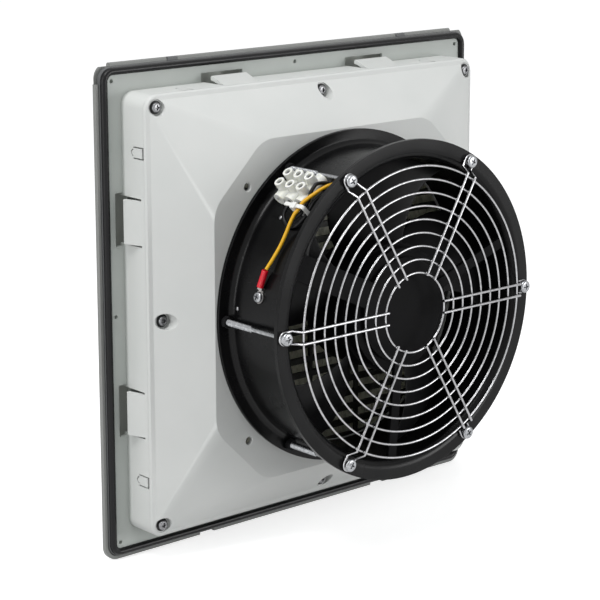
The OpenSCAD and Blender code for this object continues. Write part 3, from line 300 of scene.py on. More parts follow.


# Injection-moulded plastic: grain, faint cloudiness, edges that catch the light. Given a painted-light
# colour, the cover's inner faces
# take that paler colour and glow a little: painted light for the light that comes in at the louvres
def moulded_plastic(name, colour, second, roughness=0.5, grain=0.0006, height=0.00003, edge=0.0006,
                    gloss_spread=0.08, specular=0.45, cloud=0.05, painted_light_colour=None):
    material, tree, place, shader, _ = new_material(name)
    skin = placed_group(tree, MOULDED_SKIN, {"Vector": place, "Grain Size": grain, "Cloud Size": cloud})
    edge_group = placed_group(tree, EDGE_ROUND_AND_HIGHLIGHT, {"Vector": place, "Radius": edge, "Break Size": 0.006})
    base = mix_colour(tree, skin.outputs["Cloud"], colour, second)
    if painted_light_colour:
        # Painted light: a paler colour and a faint glow on the cover's inner faces
        inner = inside_of_cover(tree, place)
        base = mix_colour(tree, inner, base, painted_light_colour)
        tree.links.new(base, shader.inputs["Emission Color"])
        tree.links.new(math_node(tree, "MULTIPLY", inner, 0.2), shader.inputs["Emission Strength"])
    dull = math_node(tree, "ADD", roughness - gloss_spread / 2,
                     math_node(tree, "MULTIPLY", skin.outputs["Height"], gloss_spread))
    bump = node(tree, "ShaderNodeBump", {
        "Strength": 0.6, "Distance": height, "Height": skin.outputs["Height"],
        "Normal": edge_group.outputs["Normal"]})
    tree.links.new(base, shader.inputs["Base Color"])
    tree.links.new(dull, shader.inputs["Roughness"])
    tree.links.new(bump.outputs["Normal"], shader.inputs["Normal"])
    shader.inputs["Specular IOR Level"].default_value = specular
    return material


# Bright plating on wire, screws and lugs, with a painted dark reflection on the sides that turn away from
# view
def plated_metal(name, colour, dull_colour, roughness=0.16, size=0.003, height=0.00001, edge=0.35):
    material, tree, place, shader, _ = new_material(name)
    skin = placed_group(tree, PLATED_SKIN, {"Vector": place, "Size": size})
    base = mix_colour(tree, skin.outputs["Dullness"], colour, dull_colour)
    # Painted dark reflection: the colour darkens toward grazing view, by the edge factor
    facing = node(tree, "ShaderNodeLayerWeight", {"Blend": 0.4}).outputs["Facing"]
    base = mix_colour(tree, math_node(tree, "POWER", facing, 1.5), base, tuple(c * edge for c in dull_colour))
    rough = span(tree, skin.outputs["Dullness"], 0.0, 1.0, roughness, roughness + 0.16)
    bump = node(tree, "ShaderNodeBump", {
        "Strength": 0.4, "Distance": height, "Height": skin.outputs["Height"]})
    tree.links.new(base, shader.inputs["Base Color"])
    tree.links.new(rough, shader.inputs["Roughness"])
    tree.links.new(bump.outputs["Normal"], shader.inputs["Normal"])
    shader.inputs["Metallic"].default_value = 1.0
    return material


# Black stoving paint on sheet steel: orange peel under a semi-gloss film
def stoved_paint(name, colour, roughness=0.36, peel=0.0022, height=0.00005, edge_highlight_colour=(0.03, 0.03, 0.032),
                 specular=0.06):
    material, tree, place, shader, _ = new_material(name)
    skin = placed_group(tree, MOULDED_SKIN, {"Vector": place, "Grain Size": peel, "Cloud Size": 0.03})
    edge_group = placed_group(tree, EDGE_ROUND_AND_HIGHLIGHT, {"Vector": place, "Radius": 0.0007, "Break Size": 0.01})
    paler = tuple(c * 1.7 + 0.002 for c in colour)
    base = mix_colour(tree, skin.outputs["Cloud"], colour, paler)
    # Painted highlight: the broken edge mask mixes the black toward a paler colour along the edges
    base = mix_colour(tree, math_node(tree, "MULTIPLY", edge_group.outputs["Painted Highlight"], 0.5), base, edge_highlight_colour)
    rough = span(tree, skin.outputs["Cloud"], 0.0, 1.0, roughness - 0.05, roughness + 0.06)
    bump = node(tree, "ShaderNodeBump", {
        "Strength": 0.5, "Distance": height, "Height": skin.outputs["Height"],
        "Normal": edge_group.outputs["Normal"]})
    tree.links.new(base, shader.inputs["Base Color"])
    tree.links.new(rough, shader.inputs["Roughness"])
    tree.links.new(bump.outputs["Normal"], shader.inputs["Normal"])
    shader.inputs["Specular IOR Level"].default_value = specular
    return material


HOUSING_GREY = moulded_plastic("housing_grey", (0.60, 0.615, 0.60), (0.64, 0.65, 0.635), 0.46, grain=0.0007)
COVER_GREY = moulded_plastic("cover_grey", (0.19, 0.195, 0.187), (0.22, 0.225, 0.216), 0.42, grain=0.0009,
                             height=0.00006, painted_light_colour=(0.62, 0.65, 0.60))
GRID_GREY = moulded_plastic("grid_grey", (0.045, 0.047, 0.042), (0.06, 0.062, 0.056), 0.55)
GASKET_RUBBER = moulded_plastic("gasket_foam_skin", (0.006, 0.006, 0.0065), (0.010, 0.010, 0.0105), 0.26,
                                grain=0.0012, height=0.00008, specular=0.2)
FAN_BLACK = stoved_paint("fan_stoved_black", (0.002, 0.002, 0.0022), roughness=0.24, specular=0.14)
MOTOR_BLACK = stoved_paint("motor_dull_black", (0.003, 0.003, 0.0033), roughness=0.42, peel=0.0012,
                           specular=0.04)
BLADE_BLACK = stoved_paint("blade_black", (0.0035, 0.0035, 0.0038), roughness=0.38, specular=0.12)
NUT_BLACK = stoved_paint("nut_black_oxide", (0.007, 0.007, 0.0075), roughness=0.4, peel=0.0006,
                         height=0.00001)
# Black washers: a dark ring round each shroud screw head, as painted shade for the gap round the head
WASHER_PAINTED_SHADE = moulded_plastic("washer_painted_shade", (0.008, 0.008, 0.008), (0.014, 0.014, 0.014), 0.5,
                               specular=0.3)
WIRE_CHROME = plated_metal("guard_bright_plating", (0.50, 0.50, 0.51), (0.30, 0.30, 0.31), 0.12, edge=0.12)
SCREW_ZINC = plated_metal("screw_bright_zinc", (0.44, 0.45, 0.465), (0.24, 0.245, 0.255), 0.16, size=0.002)
SCREW_DULL = plated_metal("screw_dull_zinc", (0.26, 0.262, 0.268), (0.14, 0.142, 0.148), 0.26, size=0.002)
LUG_TIN = plated_metal("lug_tin", (0.60, 0.58, 0.56), (0.46, 0.44, 0.43), 0.24, size=0.0015)
BEARING_STEEL = plated_metal("bearing_steel_polish", (0.45, 0.45, 0.46), (0.34, 0.34, 0.35), 0.22)
NYLON_WHITE = moulded_plastic("terminal_nylon", (0.76, 0.765, 0.72), (0.80, 0.80, 0.76), 0.34, grain=0.0004,
                              specular=0.5, edge=0.0003)
NYLON_SHADER = NYLON_WHITE.node_tree.nodes["Principled BSDF"]
NYLON_SHADER.inputs["Subsurface Weight"].default_value = 0.6
NYLON_SHADER.inputs["Subsurface Radius"].default_value = (0.0024, 0.0024, 0.002)
LEAD_BLACK = moulded_plastic("lead_black_jacket", (0.006, 0.006, 0.0065), (0.010, 0.010, 0.0105), 0.34,
                             grain=0.0005, specular=0.2)
LEAD_YELLOW = moulded_plastic("lead_yellow_jacket", (0.70, 0.37, 0.008), (0.78, 0.44, 0.012), 0.36,
                              grain=0.0005)
SLEEVE_RED = moulded_plastic("sleeve_red", (0.58, 0.004, 0.016), (0.68, 0.007, 0.024), 0.28, grain=0.0005)
TIE_WHITE = moulded_plastic("tie_white", (0.74, 0.745, 0.72), (0.80, 0.80, 0.78), 0.38, grain=0.0004)


# The frame's plastic: the flange in a darker grey than the box behind it, as painted shade; its rim and the
# hinge ears in a dark grey
def frame_plastic():
    corner = FLANGE_PLAIN * MM
    material, tree, place, shader, _ = new_material("frame_grey")
    skin = placed_group(tree, MOULDED_SKIN, {"Vector": place, "Grain Size": 0.0007, "Cloud Size": 0.05})
    edge_group = placed_group(tree, EDGE_ROUND_AND_HIGHLIGHT, {"Vector": place, "Radius": 0.0006, "Break Size": 0.006})
    axes = node(tree, "ShaderNodeSeparateXYZ", {"Vector": place}).outputs
    out_x, out_z = (math_node(tree, "SUBTRACT", math_node(tree, "ABSOLUTE", axes[k]), corner) for k in "XZ")
    past = node(tree, "ShaderNodeCombineXYZ", {
        "X": math_node(tree, "MAXIMUM", out_x, 0.0), "Y": math_node(tree, "MAXIMUM", out_z, 0.0)}).outputs[0]
    rim = node(tree, "ShaderNodeVectorMath", {0: past}, operation="LENGTH").outputs["Value"]
    box = mix_colour(tree, skin.outputs["Cloud"], (0.61, 0.628, 0.61), (0.65, 0.662, 0.645))
    # Painted shade: the flange's darker grey stands for the lesser light that falls on it
    flange_painted_shade = mix_colour(tree, skin.outputs["Cloud"], (0.43, 0.46, 0.435), (0.48, 0.505, 0.48))
    base = mix_colour(tree, span(tree, axes["Y"], 0.0004, 0.003), flange_painted_shade, box)
    dark = span(tree, rim, RIM_FROM * MM - corner, RIM_FULL * MM - corner)
    base = mix_colour(tree, dark, base, (0.10, 0.103, 0.105))
    dull = span(tree, skin.outputs["Height"], 0.0, 1.0, 0.46, 0.54)
    bump = node(tree, "ShaderNodeBump", {
        "Strength": 0.6, "Distance": 0.00003, "Height": skin.outputs["Height"],
        "Normal": edge_group.outputs["Normal"]})
    tree.links.new(base, shader.inputs["Base Color"])
    tree.links.new(dull, shader.inputs["Roughness"])
    tree.links.new(bump.outputs["Normal"], shader.inputs["Normal"])
    return material


FRAME_GREY = frame_plastic()


# White polyester filter fleece: tangled strands that let light through
def filter_fleece():
    material, tree, place, shader, out = new_material("filter_fleece")
    tangle = placed_group(tree, FIBRE_TANGLE, {"Vector": place, "Fibre Size": 0.0022})
    base = mix_colour(tree, tangle.outputs["Tint"], (0.74, 0.74, 0.63), (0.82, 0.82, 0.74))
    # Painted shade: the pores between the strands are mixed toward a darker colour
    pore_shade = math_node(tree, "MULTIPLY", tangle.outputs["Pore Shade"], 0.55)
    base = mix_colour(tree, pore_shade, base, (0.40, 0.40, 0.33))
    bump = node(tree, "ShaderNodeBump", {
        "Strength": 0.9, "Distance": 0.0008, "Height": tangle.outputs["Height"]})
    tree.links.new(base, shader.inputs["Base Color"])
    tree.links.new(bump.outputs["Normal"], shader.inputs["Normal"])
    shader.inputs["Roughness"].default_value = 0.9
    shader.inputs["Specular IOR Level"].default_value = 0.2
    shader.inputs["Sheen Weight"].default_value = 0.3
    glow = node(tree, "ShaderNodeBsdfTranslucent", {"Color": base, "Normal": bump.outputs["Normal"]})
    both = node(tree, "ShaderNodeMixShader", {0: 0.35, 1: shader.outputs["BSDF"], 2: glow.outputs["BSDF"]})
    tree.links.new(both.outputs["Shader"], out.inputs["Surface"])
    return material


FLEECE = filter_fleece()


# Mesh helpers

def mesh_piece(name, points, faces, smooth_below=None):
    mesh = bpy.data.meshes.new(name)
    mesh.from_pydata([tuple(p) for p in points], [], faces)
    work = bmesh.new()
    work.from_mesh(mesh)
    bmesh.ops.recalc_face_normals(work, faces=work.faces)
    if smooth_below is not None:
        limit = math.radians(smooth_below)
        for face in work.faces:
            face.smooth = True
        for edge in work.edges:
            edge.smooth = len(edge.link_faces) == 2 and edge.calc_face_angle(0.0) < limit
    work.to_mesh(mesh)
    work.free()
    made = bpy.data.objects.new(name, mesh)
    bpy.context.scene.collection.objects.link(made)
    return made


def joined(name, parts, smooth_below=35):
    points, faces = [], []
    for part_points, part_faces in parts:
        shift = len(points)
        points += [tuple(p) for p in part_points]
        faces += [tuple(i + shift for i in face) for face in part_faces]
    return mesh_piece(name, points, faces, smooth_below)


# Skin over rings of points, each the same length: capped at both ends, or closed on itself in a loop
def skin(rings, loop=False):
    n, rows = len(rings[0]), len(rings)
    points = [p for ring in rings for p in ring]
    faces = []
    for j in range(rows if loop else rows - 1):
        here, there = j * n, (j + 1) % rows * n
        for k in range(n):
            faces.append((here + k, here + (k + 1) % n, there + (k + 1) % n, there + k))
    if not loop:
        faces.append(tuple(range(n - 1, -1, -1)))
        faces.append(tuple(range((rows - 1) * n, rows * n)))
    return points, faces


def placed(part, matrix):
    points, faces = part
    return [matrix @ Vector(p) for p in points], faces


def polar(a, y, r):
    t = math.radians(a)
    return Vector((r * math.cos(t), y, r * math.sin(t))) * MM


# Frame of the barrel at an angle: X outward, Y along the axis, Z toward rising angle
def barrel_frame(a, y=0.0, r=0.0):
    t = math.radians(a)
    turn = Matrix(((math.cos(t), 0, -math.sin(t)), (0, 1, 0), (math.sin(t), 0, math.cos(t)))).to_4x4()
    return turn @ Matrix.Translation(Vector((r, y, 0)) * MM)


def smooth_route(route, steps=5):
    knots = [polar(60 + math.degrees(along / BARREL_R), MID_Y + y, BARREL_R + r) for along, y, r in route]
    knots = [2 * knots[0] - knots[1]] + knots + [2 * knots[-1] - knots[-2]]
    line = []
    for i in range(1, len(knots) - 2):
        p0, p1, p2, p3 = knots[i - 1:i + 3]
        for s in range(steps):
            t = s / steps
            line.append(0.5 * (2 * p1 + (p2 - p0) * t + (2 * p0 - 5 * p1 + 4 * p2 - p3) * t ** 2
                               + (3 * p1 - p0 - 3 * p2 + p3) * t ** 3))
    line.append(knots[-2])
    return line


def tube(line, radius, sides=14):
    rings = []
    across = None
    for i, p in enumerate(line):
        ahead = (line[min(i + 1, len(line) - 1)] - line[max(i - 1, 0)]).normalized()
        if across is None:
            across = ahead.cross(Vector((0, 1, 0)) if abs(ahead.y) < 0.8 else Vector((0, 0, 1))).normalized()
        across = (across - ahead * across.dot(ahead)).normalized()
        up = across.cross(ahead)
        r = radius(i / (len(line) - 1)) if callable(radius) else radius
        rings.append([p + r * (math.cos(t) * across + math.sin(t) * up)
                      for t in np.linspace(0, 2 * math.pi, sides, endpoint=False)])
    return skin(rings)


# Geometry node trees for what repeats

def geometry_tree(name, inputs):
    tree = bpy.data.node_groups.new(name, "GeometryNodeTree")
    tree.interface.new_socket("Geometry", in_out="INPUT", socket_type="NodeSocketGeometry")
    for label, kind in inputs:
        tree.interface.new_socket(label, in_out="INPUT", socket_type=kind)
    tree.interface.new_socket("Geometry", in_out="OUTPUT", socket_type="NodeSocketGeometry")
    return tree, tree.nodes.new("NodeGroupInput").outputs, tree.nodes.new("NodeGroupOutput").inputs


def finish_instances(tree, given, result, points, rotation):
    copies = node(tree, "GeometryNodeInstanceOnPoints", {
        "Points": points, "Instance": given["Geometry"], "Rotation": rotation})
    whole = node(tree, "GeometryNodeRealizeInstances", {"Geometry": copies.outputs["Instances"]})
    dressed = node(tree, "GeometryNodeSetMaterial", {
        "Geometry": whole.outputs["Geometry"], "Material": given["Material"]})
    tree.links.new(dressed.outputs["Geometry"], result["Geometry"])


# Copies of the piece round the fan's axis, each turned to face outward
def round_axis_tree():
    tree, given, result = geometry_tree("copies_round_axis", [
        ("Count", "NodeSocketInt"), ("Start Angle", FLOAT), ("Step Angle", FLOAT), ("Radius", FLOAT),
        ("Height", FLOAT), ("Material", "NodeSocketMaterial")])
    index = node(tree, "GeometryNodeInputIndex").outputs[0]
    turned = math_node(tree, "MULTIPLY", index, given["Step Angle"])
    angle = math_node(tree, "ADD", given["Start Angle"], turned)
    x = math_node(tree, "MULTIPLY", given["Radius"], math_node(tree, "COSINE", angle))
    z = math_node(tree, "MULTIPLY", given["Radius"], math_node(tree, "SINE", angle))
    place = node(tree, "ShaderNodeCombineXYZ", {"X": x, "Y": given["Height"], "Z": z}).outputs[0]
    points = node(tree, "GeometryNodePoints", {"Count": given["Count"], "Position": place})
    turn = node(tree, "ShaderNodeCombineXYZ", {"Y": math_node(tree, "MULTIPLY", angle, -1.0)}).outputs[0]
    finish_instances(tree, given, result, points.outputs[0], turn)
    return tree


# A weld spot wherever a ring wire crosses an arm wire
def weld_spot_tree():
    tree, given, result = geometry_tree("weld_spots", [
        ("Arms", "NodeSocketInt"), ("Rings", "NodeSocketInt"), ("First Radius", FLOAT), ("Ring Pitch", FLOAT),
        ("Half Pair", FLOAT), ("Height", FLOAT), ("Material", "NodeSocketMaterial")])
    index = node(tree, "GeometryNodeInputIndex").outputs[0]
    per_arm = math_node(tree, "MULTIPLY", given["Rings"], 2.0)
    arm = math_node(tree, "FLOOR", math_node(tree, "DIVIDE", index, per_arm))
    rest = math_node(tree, "MODULO", index, per_arm)
    ring = math_node(tree, "FLOOR", math_node(tree, "DIVIDE", rest, 2.0))
    odd = math_node(tree, "MODULO", rest, 2.0)
    side = math_node(tree, "SUBTRACT", math_node(tree, "MULTIPLY", odd, 2.0), 1.0)
    outward = math_node(tree, "MULTIPLY", ring, given["Ring Pitch"])
    radius = math_node(tree, "ADD", given["First Radius"], outward)
    off = math_node(tree, "ARCSINE", math_node(tree, "DIVIDE", given["Half Pair"], radius))
    step = math_node(tree, "DIVIDE", 2 * math.pi, given["Arms"])
    arm_angle = math_node(tree, "MULTIPLY", arm, step)
    angle = math_node(tree, "ADD", arm_angle, math_node(tree, "MULTIPLY", off, side))
    place = node(tree, "ShaderNodeCombineXYZ", {
        "X": math_node(tree, "MULTIPLY", radius, math_node(tree, "COSINE", angle)), "Y": given["Height"],
        "Z": math_node(tree, "MULTIPLY", radius, math_node(tree, "SINE", angle))}).outputs[0]
    count = math_node(tree, "MULTIPLY", given["Arms"], per_arm)
    points = node(tree, "GeometryNodePoints", {"Count": count, "Position": place})
    turn = node(tree, "ShaderNodeCombineXYZ", {"Y": math_node(tree, "MULTIPLY", angle, -1.0)}).outputs[0]
    finish_instances(tree, given, result, points.outputs[0], turn)
    return tree


# The piece set on given points, which carry nothing but their places
def on_places_tree():
    tree, given, result = geometry_tree("copies_on_places", [
        ("Places", "NodeSocketObject"), ("Material", "NodeSocketMaterial")])
    places = node(tree, "GeometryNodeObjectInfo", {"Object": given["Places"]})
    points = node(tree, "GeometryNodeMeshToPoints", {"Mesh": places.outputs["Geometry"]})
    finish_instances(tree, given, result, points.outputs[0], (0.0, 0.0, 0.0))
    return tree


# Smooth light over round faces, sharp light at true edges
def rounded_light_tree():
    tree = bpy.data.node_groups.new("rounded_light", "GeometryNodeTree")
    tree.interface.new_socket("Geometry", in_out="INPUT", socket_type="NodeSocketGeometry")
    tree.interface.new_socket("Sharp Angle", in_out="INPUT", socket_type=FLOAT)
    tree.interface.new_socket("Geometry", in_out="OUTPUT", socket_type="NodeSocketGeometry")
    given, result = tree.nodes.new("NodeGroupInput").outputs, tree.nodes.new("NodeGroupOutput").inputs
    angle = node(tree, "GeometryNodeInputMeshEdgeAngle").outputs["Unsigned Angle"]
    sharp = node(tree, "FunctionNodeCompare", {0: angle, 1: given["Sharp Angle"]}, operation="GREATER_THAN")
    soft = node(tree, "GeometryNodeSetShadeSmooth", {"Geometry": given["Geometry"], "Shade Smooth": True},
                domain="FACE")
    hard = node(tree, "GeometryNodeSetShadeSmooth", {
        "Geometry": soft.outputs[0], "Selection": sharp.outputs[0], "Shade Smooth": False}, domain="EDGE")
    tree.links.new(hard.outputs[0], result["Geometry"])
    return tree


ROUND_AXIS = round_axis_tree()
WELD_SPOTS = weld_spot_tree()
ON_PLACES = on_places_tree()
ROUNDED_LIGHT = rounded_light_tree()


def add_tree(piece, tree, values):
    modifier = piece.modifiers.new(tree.name, "NODES")
    modifier.node_group = tree
    for item in tree.interface.items_tree:
        if item.item_type == "SOCKET" and item.in_out == "INPUT" and item.name in values:
            modifier[item.identifier] = values[item.name]
    return modifier


# Turns a piece with its tree into a plain mesh
def grown(piece, tree, values, name):
    add_tree(piece, tree, values)
    bpy.context.view_layer.update()
    now = piece.evaluated_get(bpy.context.evaluated_depsgraph_get())
    mesh = bpy.data.meshes.new_from_object(now)
    mesh.name = name
    bpy.data.objects.remove(piece)
    made = bpy.data.objects.new(name, mesh)
    bpy.context.scene.collection.objects.link(made)
    return made


def dress(piece, material, body, slot, *stands_for):
    if material is not None:
        piece.data.materials.clear()
        piece.data.materials.append(material)
    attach(piece, body)
    if stands_for:
        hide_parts(*stands_for)
    return piece


# Pan head with a cross recess, seat at y = 0, and a shank that may carry a thread
def pan_screw(head_r, head_h, shank_r, length, thread=(0.0, 0.0), crest_r=0.0, pitch=1.0, steps=10):
    around = 48
    angles = np.linspace(0, 2 * math.pi, around, endpoint=False)
    crown = 0.55 * head_h
    profile = [(head_r - 0.15, 0.0), (head_r, 0.15)]
    profile += [(head_r - crown * (1 - math.cos(t)), head_h - crown + crown * math.sin(t))
                for t in np.linspace(0, math.pi / 2, 7)]
    rings = [[(r, y)] * around for r, y in profile]
    flat_r = profile[-1][0]
    rings += [[(r, head_h + 0.12 * (1 - (r / flat_r) ** 2))] * around
              for r in np.linspace(flat_r, 0.06, 17)[1:]]

    def cross_depth(x, z):
        reach = 0.52 * head_r
        depth = 0.0
        for u, v in ((x, z), (z, x)):
            half = 0.42 - 0.10 * min(abs(u) / reach, 1.0)
            within = min(max((half - abs(v)) / 0.12 + 0.5, 0.0), 1.0)
            depth = max(depth, within * min(max((reach - abs(u)) / 0.3, 0.0), 1.0))
        core = min(max((0.78 - math.hypot(x, z)) / 0.2 + 0.5, 0.0), 1.0)
        return max(depth, core) * 1.25

    head = []
    for ring in rings:
        row = []
        for (r, y), t in zip(ring, angles):
            x, z = r * math.cos(t), r * math.sin(t)
            row.append(Vector((x, y - (cross_depth(x, z) if y > head_h - 0.01 else 0.0), z)) * MM)
        head.append(row)
    parts = [skin(head)]
    low, high = thread
    sides = 24
    shank = []
    ys = [0.02]
    if high > low:
        ys += [high + 0.3] + list(np.arange(high, low, -pitch / steps)) + [low, -length]
    else:
        ys += [-length]
    for y in ys:
        row = []
        for t in np.linspace(0, 2 * math.pi, sides, endpoint=False):
            r = shank_r
            if low <= y <= high:
                phase = (y / pitch - t / (2 * math.pi)) % 1.0
                r = crest_r - 0.85 * abs(2 * phase - 1)
            if y <= -length + 0.01:
                r = shank_r * 0.75
            row.append(Vector((r * math.cos(t), y, r * math.sin(t))) * MM)
        shank.append(row)
    parts.append(skin(shank))
    return parts


def circle_ring(y, r, sides=48):
    return [Vector((r * math.cos(t), y, r * math.sin(t))) * MM
            for t in np.linspace(0, 2 * math.pi, sides, endpoint=False)]


# Hexagon with turned chamfers and a countersunk hole
def hex_nut(across, height, hole_r):
    chamfer, face_r = 0.35, across * 0.503
    rings = []
    for y, widest in ((0.0, face_r), (chamfer, across), (height - chamfer, across), (height, face_r)):
        ring = []
        for k in range(48):
            t = 2 * math.pi * k / 48
            r = min(across / 2 / math.cos((t + math.pi / 6) % (math.pi / 3) - math.pi / 6), widest)
            ring.append(Vector((r * math.cos(t), y, r * math.sin(t))) * MM)
        rings.append(ring)
    rings += [circle_ring(height, hole_r + 0.3), circle_ring(height - 0.3, hole_r), circle_ring(0.3, hole_r),
              circle_ring(0.0, hole_r + 0.3)]
    return skin(rings, loop=True)


def make_screws():
    round_fan = {"Count": FAN_SCREWS, "Start Angle": 0.0, "Step Angle": 2 * math.pi / FAN_SCREWS,
                 "Radius": FAN_SCREW_R * MM}
    screw = pan_screw(4.3, 2.9, 1.55, FAN_SCREW_L, thread=FAN_SCREW_THREAD, crest_r=2.2, pitch=1.55)
    screws = grown(joined("fan_screw_form", screw, 40), ROUND_AXIS, {
        **round_fan, "Height": FAN_SCREW_SEAT * MM, "Material": SCREW_ZINC}, "fan_screws")
    dress(screws, None, "frame", "bright_zinc", *[f"fan_screw_{i + 1}" for i in range(FAN_SCREWS)])

    nut = joined("fan_nut_form", [hex_nut(NUT_ACROSS, NUT_H, NUT_HOLE_R)], 30)
    nuts = grown(nut, ROUND_AXIS, {**round_fan, "Height": NUT_Y * MM, "Material": NUT_BLACK}, "fan_nuts")
    dress(nuts, None, "frame", "black_steel", *[f"fan_nut_{i + 1}" for i in range(FAN_SCREWS)])

    places = mesh_piece("shroud_screw_places", [Vector(p) * MM for p in SHROUD_SCREWS], [])
    for name, part, lift, material, slot, stands in (
            ("shroud_screws", pan_screw(3.3, 2.2, 1.9, 16.0), WASHER_T, SCREW_DULL, "bright_zinc",
             [f"shroud_screw_{i + 1}" for i in range(len(SHROUD_SCREWS))]),
            # The black washers give painted shade round each screw head
            ("shroud_screw_washers", [washer_ring()], 0.0, WASHER_PAINTED_SHADE, "gasket_rubber",
             ["shroud_washers"])):
        lifted = [placed(p, Matrix.Translation((0, lift * MM, 0))) for p in part]
        template = joined(name + "_form", lifted, 40)
        piece = grown(template, ON_PLACES, {"Places": places, "Material": material}, name)
        dress(piece, None, "frame", slot, *stands)
    bpy.data.objects.remove(places)


def washer_ring():
    hole_r, edge = 2.1, 0.12
    face_r = WASHER_R - 0.13
    return skin([circle_ring(y, r, 40) for r, y in (
        (hole_r, 0.0), (face_r, 0.0), (WASHER_R, edge), (WASHER_R, WASHER_T - edge), (face_r, WASHER_T),
        (hole_r, WASHER_T))], loop=True)


def make_guard_welds():
    work = bmesh.new()
    bmesh.ops.create_icosphere(work, subdivisions=2, radius=1.0)
    bmesh.ops.scale(work, vec=(1.15 * MM, 0.62 * MM, 1.05 * MM), verts=work.verts)
    mesh = bpy.data.meshes.new("weld_form")
    for face in work.faces:
        face.smooth = True
    work.to_mesh(mesh)
    work.free()
    template = bpy.data.objects.new("weld_form", mesh)
    bpy.context.scene.collection.objects.link(template)
    welds = grown(template, WELD_SPOTS, {
        "Arms": GUARD_ARMS, "Rings": GUARD_RINGS, "First Radius": GUARD_FIRST_R * MM,
        "Ring Pitch": GUARD_PITCH * MM, "Half Pair": GUARD_HALF_PAIR * MM, "Height": GUARD_WELD_Y * MM,
        "Material": WIRE_CHROME}, "guard_welds")
    dress(welds, None, "frame", "bright_zinc")


# A blade as the source draws it, with more stations and rounded edges
def make_blades():
    span_steps, chord_steps = 26, 34

    def middle(s, t):
        r = BLADE_ROOT_R + s * (BLADE_TIP_R - BLADE_ROOT_R)
        arc = BLADE_ROOT_ARC + s * (BLADE_TIP_ARC - BLADE_ROOT_ARC)
        rise = BLADE_H * (1 - s * (1 - BLADE_TIP_RISE_SHARE))
        bow = 4 * t * (1 - t) * BLADE_CAMBER_SHARE * rise
        return r, BLADE_MID_Y + (t - 0.5) * rise + bow, BLADE_START + (t - 0.5) * arc + BLADE_SWEEP * s * s

    rings = []
    for j in range(span_steps + 1):
        s = j / span_steps
        ring = []
        for side in (1, -1):
            ts = [0.5 - 0.5 * math.cos(math.pi * k / chord_steps) for k in range(chord_steps + 1)]
            if side < 0:
                ts = ts[::-1][1:-1]
            for t in ts:
                r, y, a = middle(s, t)
                edge = min(t, 1 - t)
                thin = BLADE_T * 0.62 * (0.35 + 2.6 * t * (1 - t)) * min(math.sqrt(edge / 0.012), 1.0)
                ring.append(polar(a, y + side * thin, r))
        rings.append(ring)
    template = joined("blade_form", [skin(rings)], 50)
    blades = grown(template, ROUND_AXIS, {
        "Count": BLADES, "Start Angle": 0.0, "Step Angle": 2 * math.pi / BLADES, "Radius": 0.0, "Height": 0.0,
        "Material": BLADE_BLACK}, "impeller_blades")
    dress(blades, None, "impeller", "blade_paint", *[f"impeller_blade_{i + 1}" for i in range(BLADES)])


def make_leads():
    leads = (
        ("lead_black_1", SUPPLY_ROUTE_A, LEAD_R, LEAD_BLACK, "black_insulation", "supply_lead_1"),
        ("lead_black_2", SUPPLY_ROUTE_B, LEAD_R, LEAD_BLACK, "black_insulation", "supply_lead_2"),
        ("lead_earth", EARTH_ROUTE, LEAD_R, LEAD_YELLOW, "yellow_insulation", "earth_lead"),
        ("cable_motor", CABLE_ROUTE, CABLE_R, LEAD_BLACK, "black_insulation", "motor_cable"))
    for name, route, radius, material, slot, stands in leads:
        piece = joined(name, [tube(smooth_route(route), radius * MM, 16)], 60)
        dress(piece, material, "frame", slot, stands)


# Foamed-on gasket: a half-round bead whose crown wanders a little, as poured foam does
def make_gasket():
    straight = GASKET_AT - GASKET_CORNER - GASKET_W / 2
    turn_r = GASKET_AT - straight
    side = [Vector((GASKET_AT, 0, t)) for t in np.linspace(-straight, straight, 90)]
    side += [Vector((straight + turn_r * math.cos(t), 0, straight + turn_r * math.sin(t)))
             for t in np.linspace(0, math.pi / 2, 12)[1:-1]]
    line = [Matrix.Rotation(-math.pi / 2 * q, 3, "Y") @ p for q in range(4) for p in side]
    rng = np.random.default_rng(4)
    waves = [(9 + 11 * k, rng.uniform(0, 2 * math.pi), rng.uniform(0.2, 1.0)) for k in range(14)]
    rings = []
    for i, p in enumerate(line):
        along = (line[(i + 1) % len(line)] - line[i - 1]).normalized()
        out = along.cross(Vector((0, 1, 0)))
        s = 2 * math.pi * i / len(line)
        wander = sum(size * math.sin(turns * s + phase) for turns, phase, size in waves) / 14
        h = GASKET_H - 0.12 + 0.10 * wander
        w = GASKET_W / 2 - 0.04 + 0.04 * wander
        rings.append([(p + out * (w * math.sin(t)) + Vector((0, h * max(math.cos(t), 0.0) ** 0.8, 0))) * MM
                      for t in np.linspace(-math.pi / 2, math.pi / 2, 11)])
    dress(joined("gasket_bead", [skin(rings, loop=True)], 60), GASKET_RUBBER, "frame", "gasket_rubber",
          "panel_gasket")


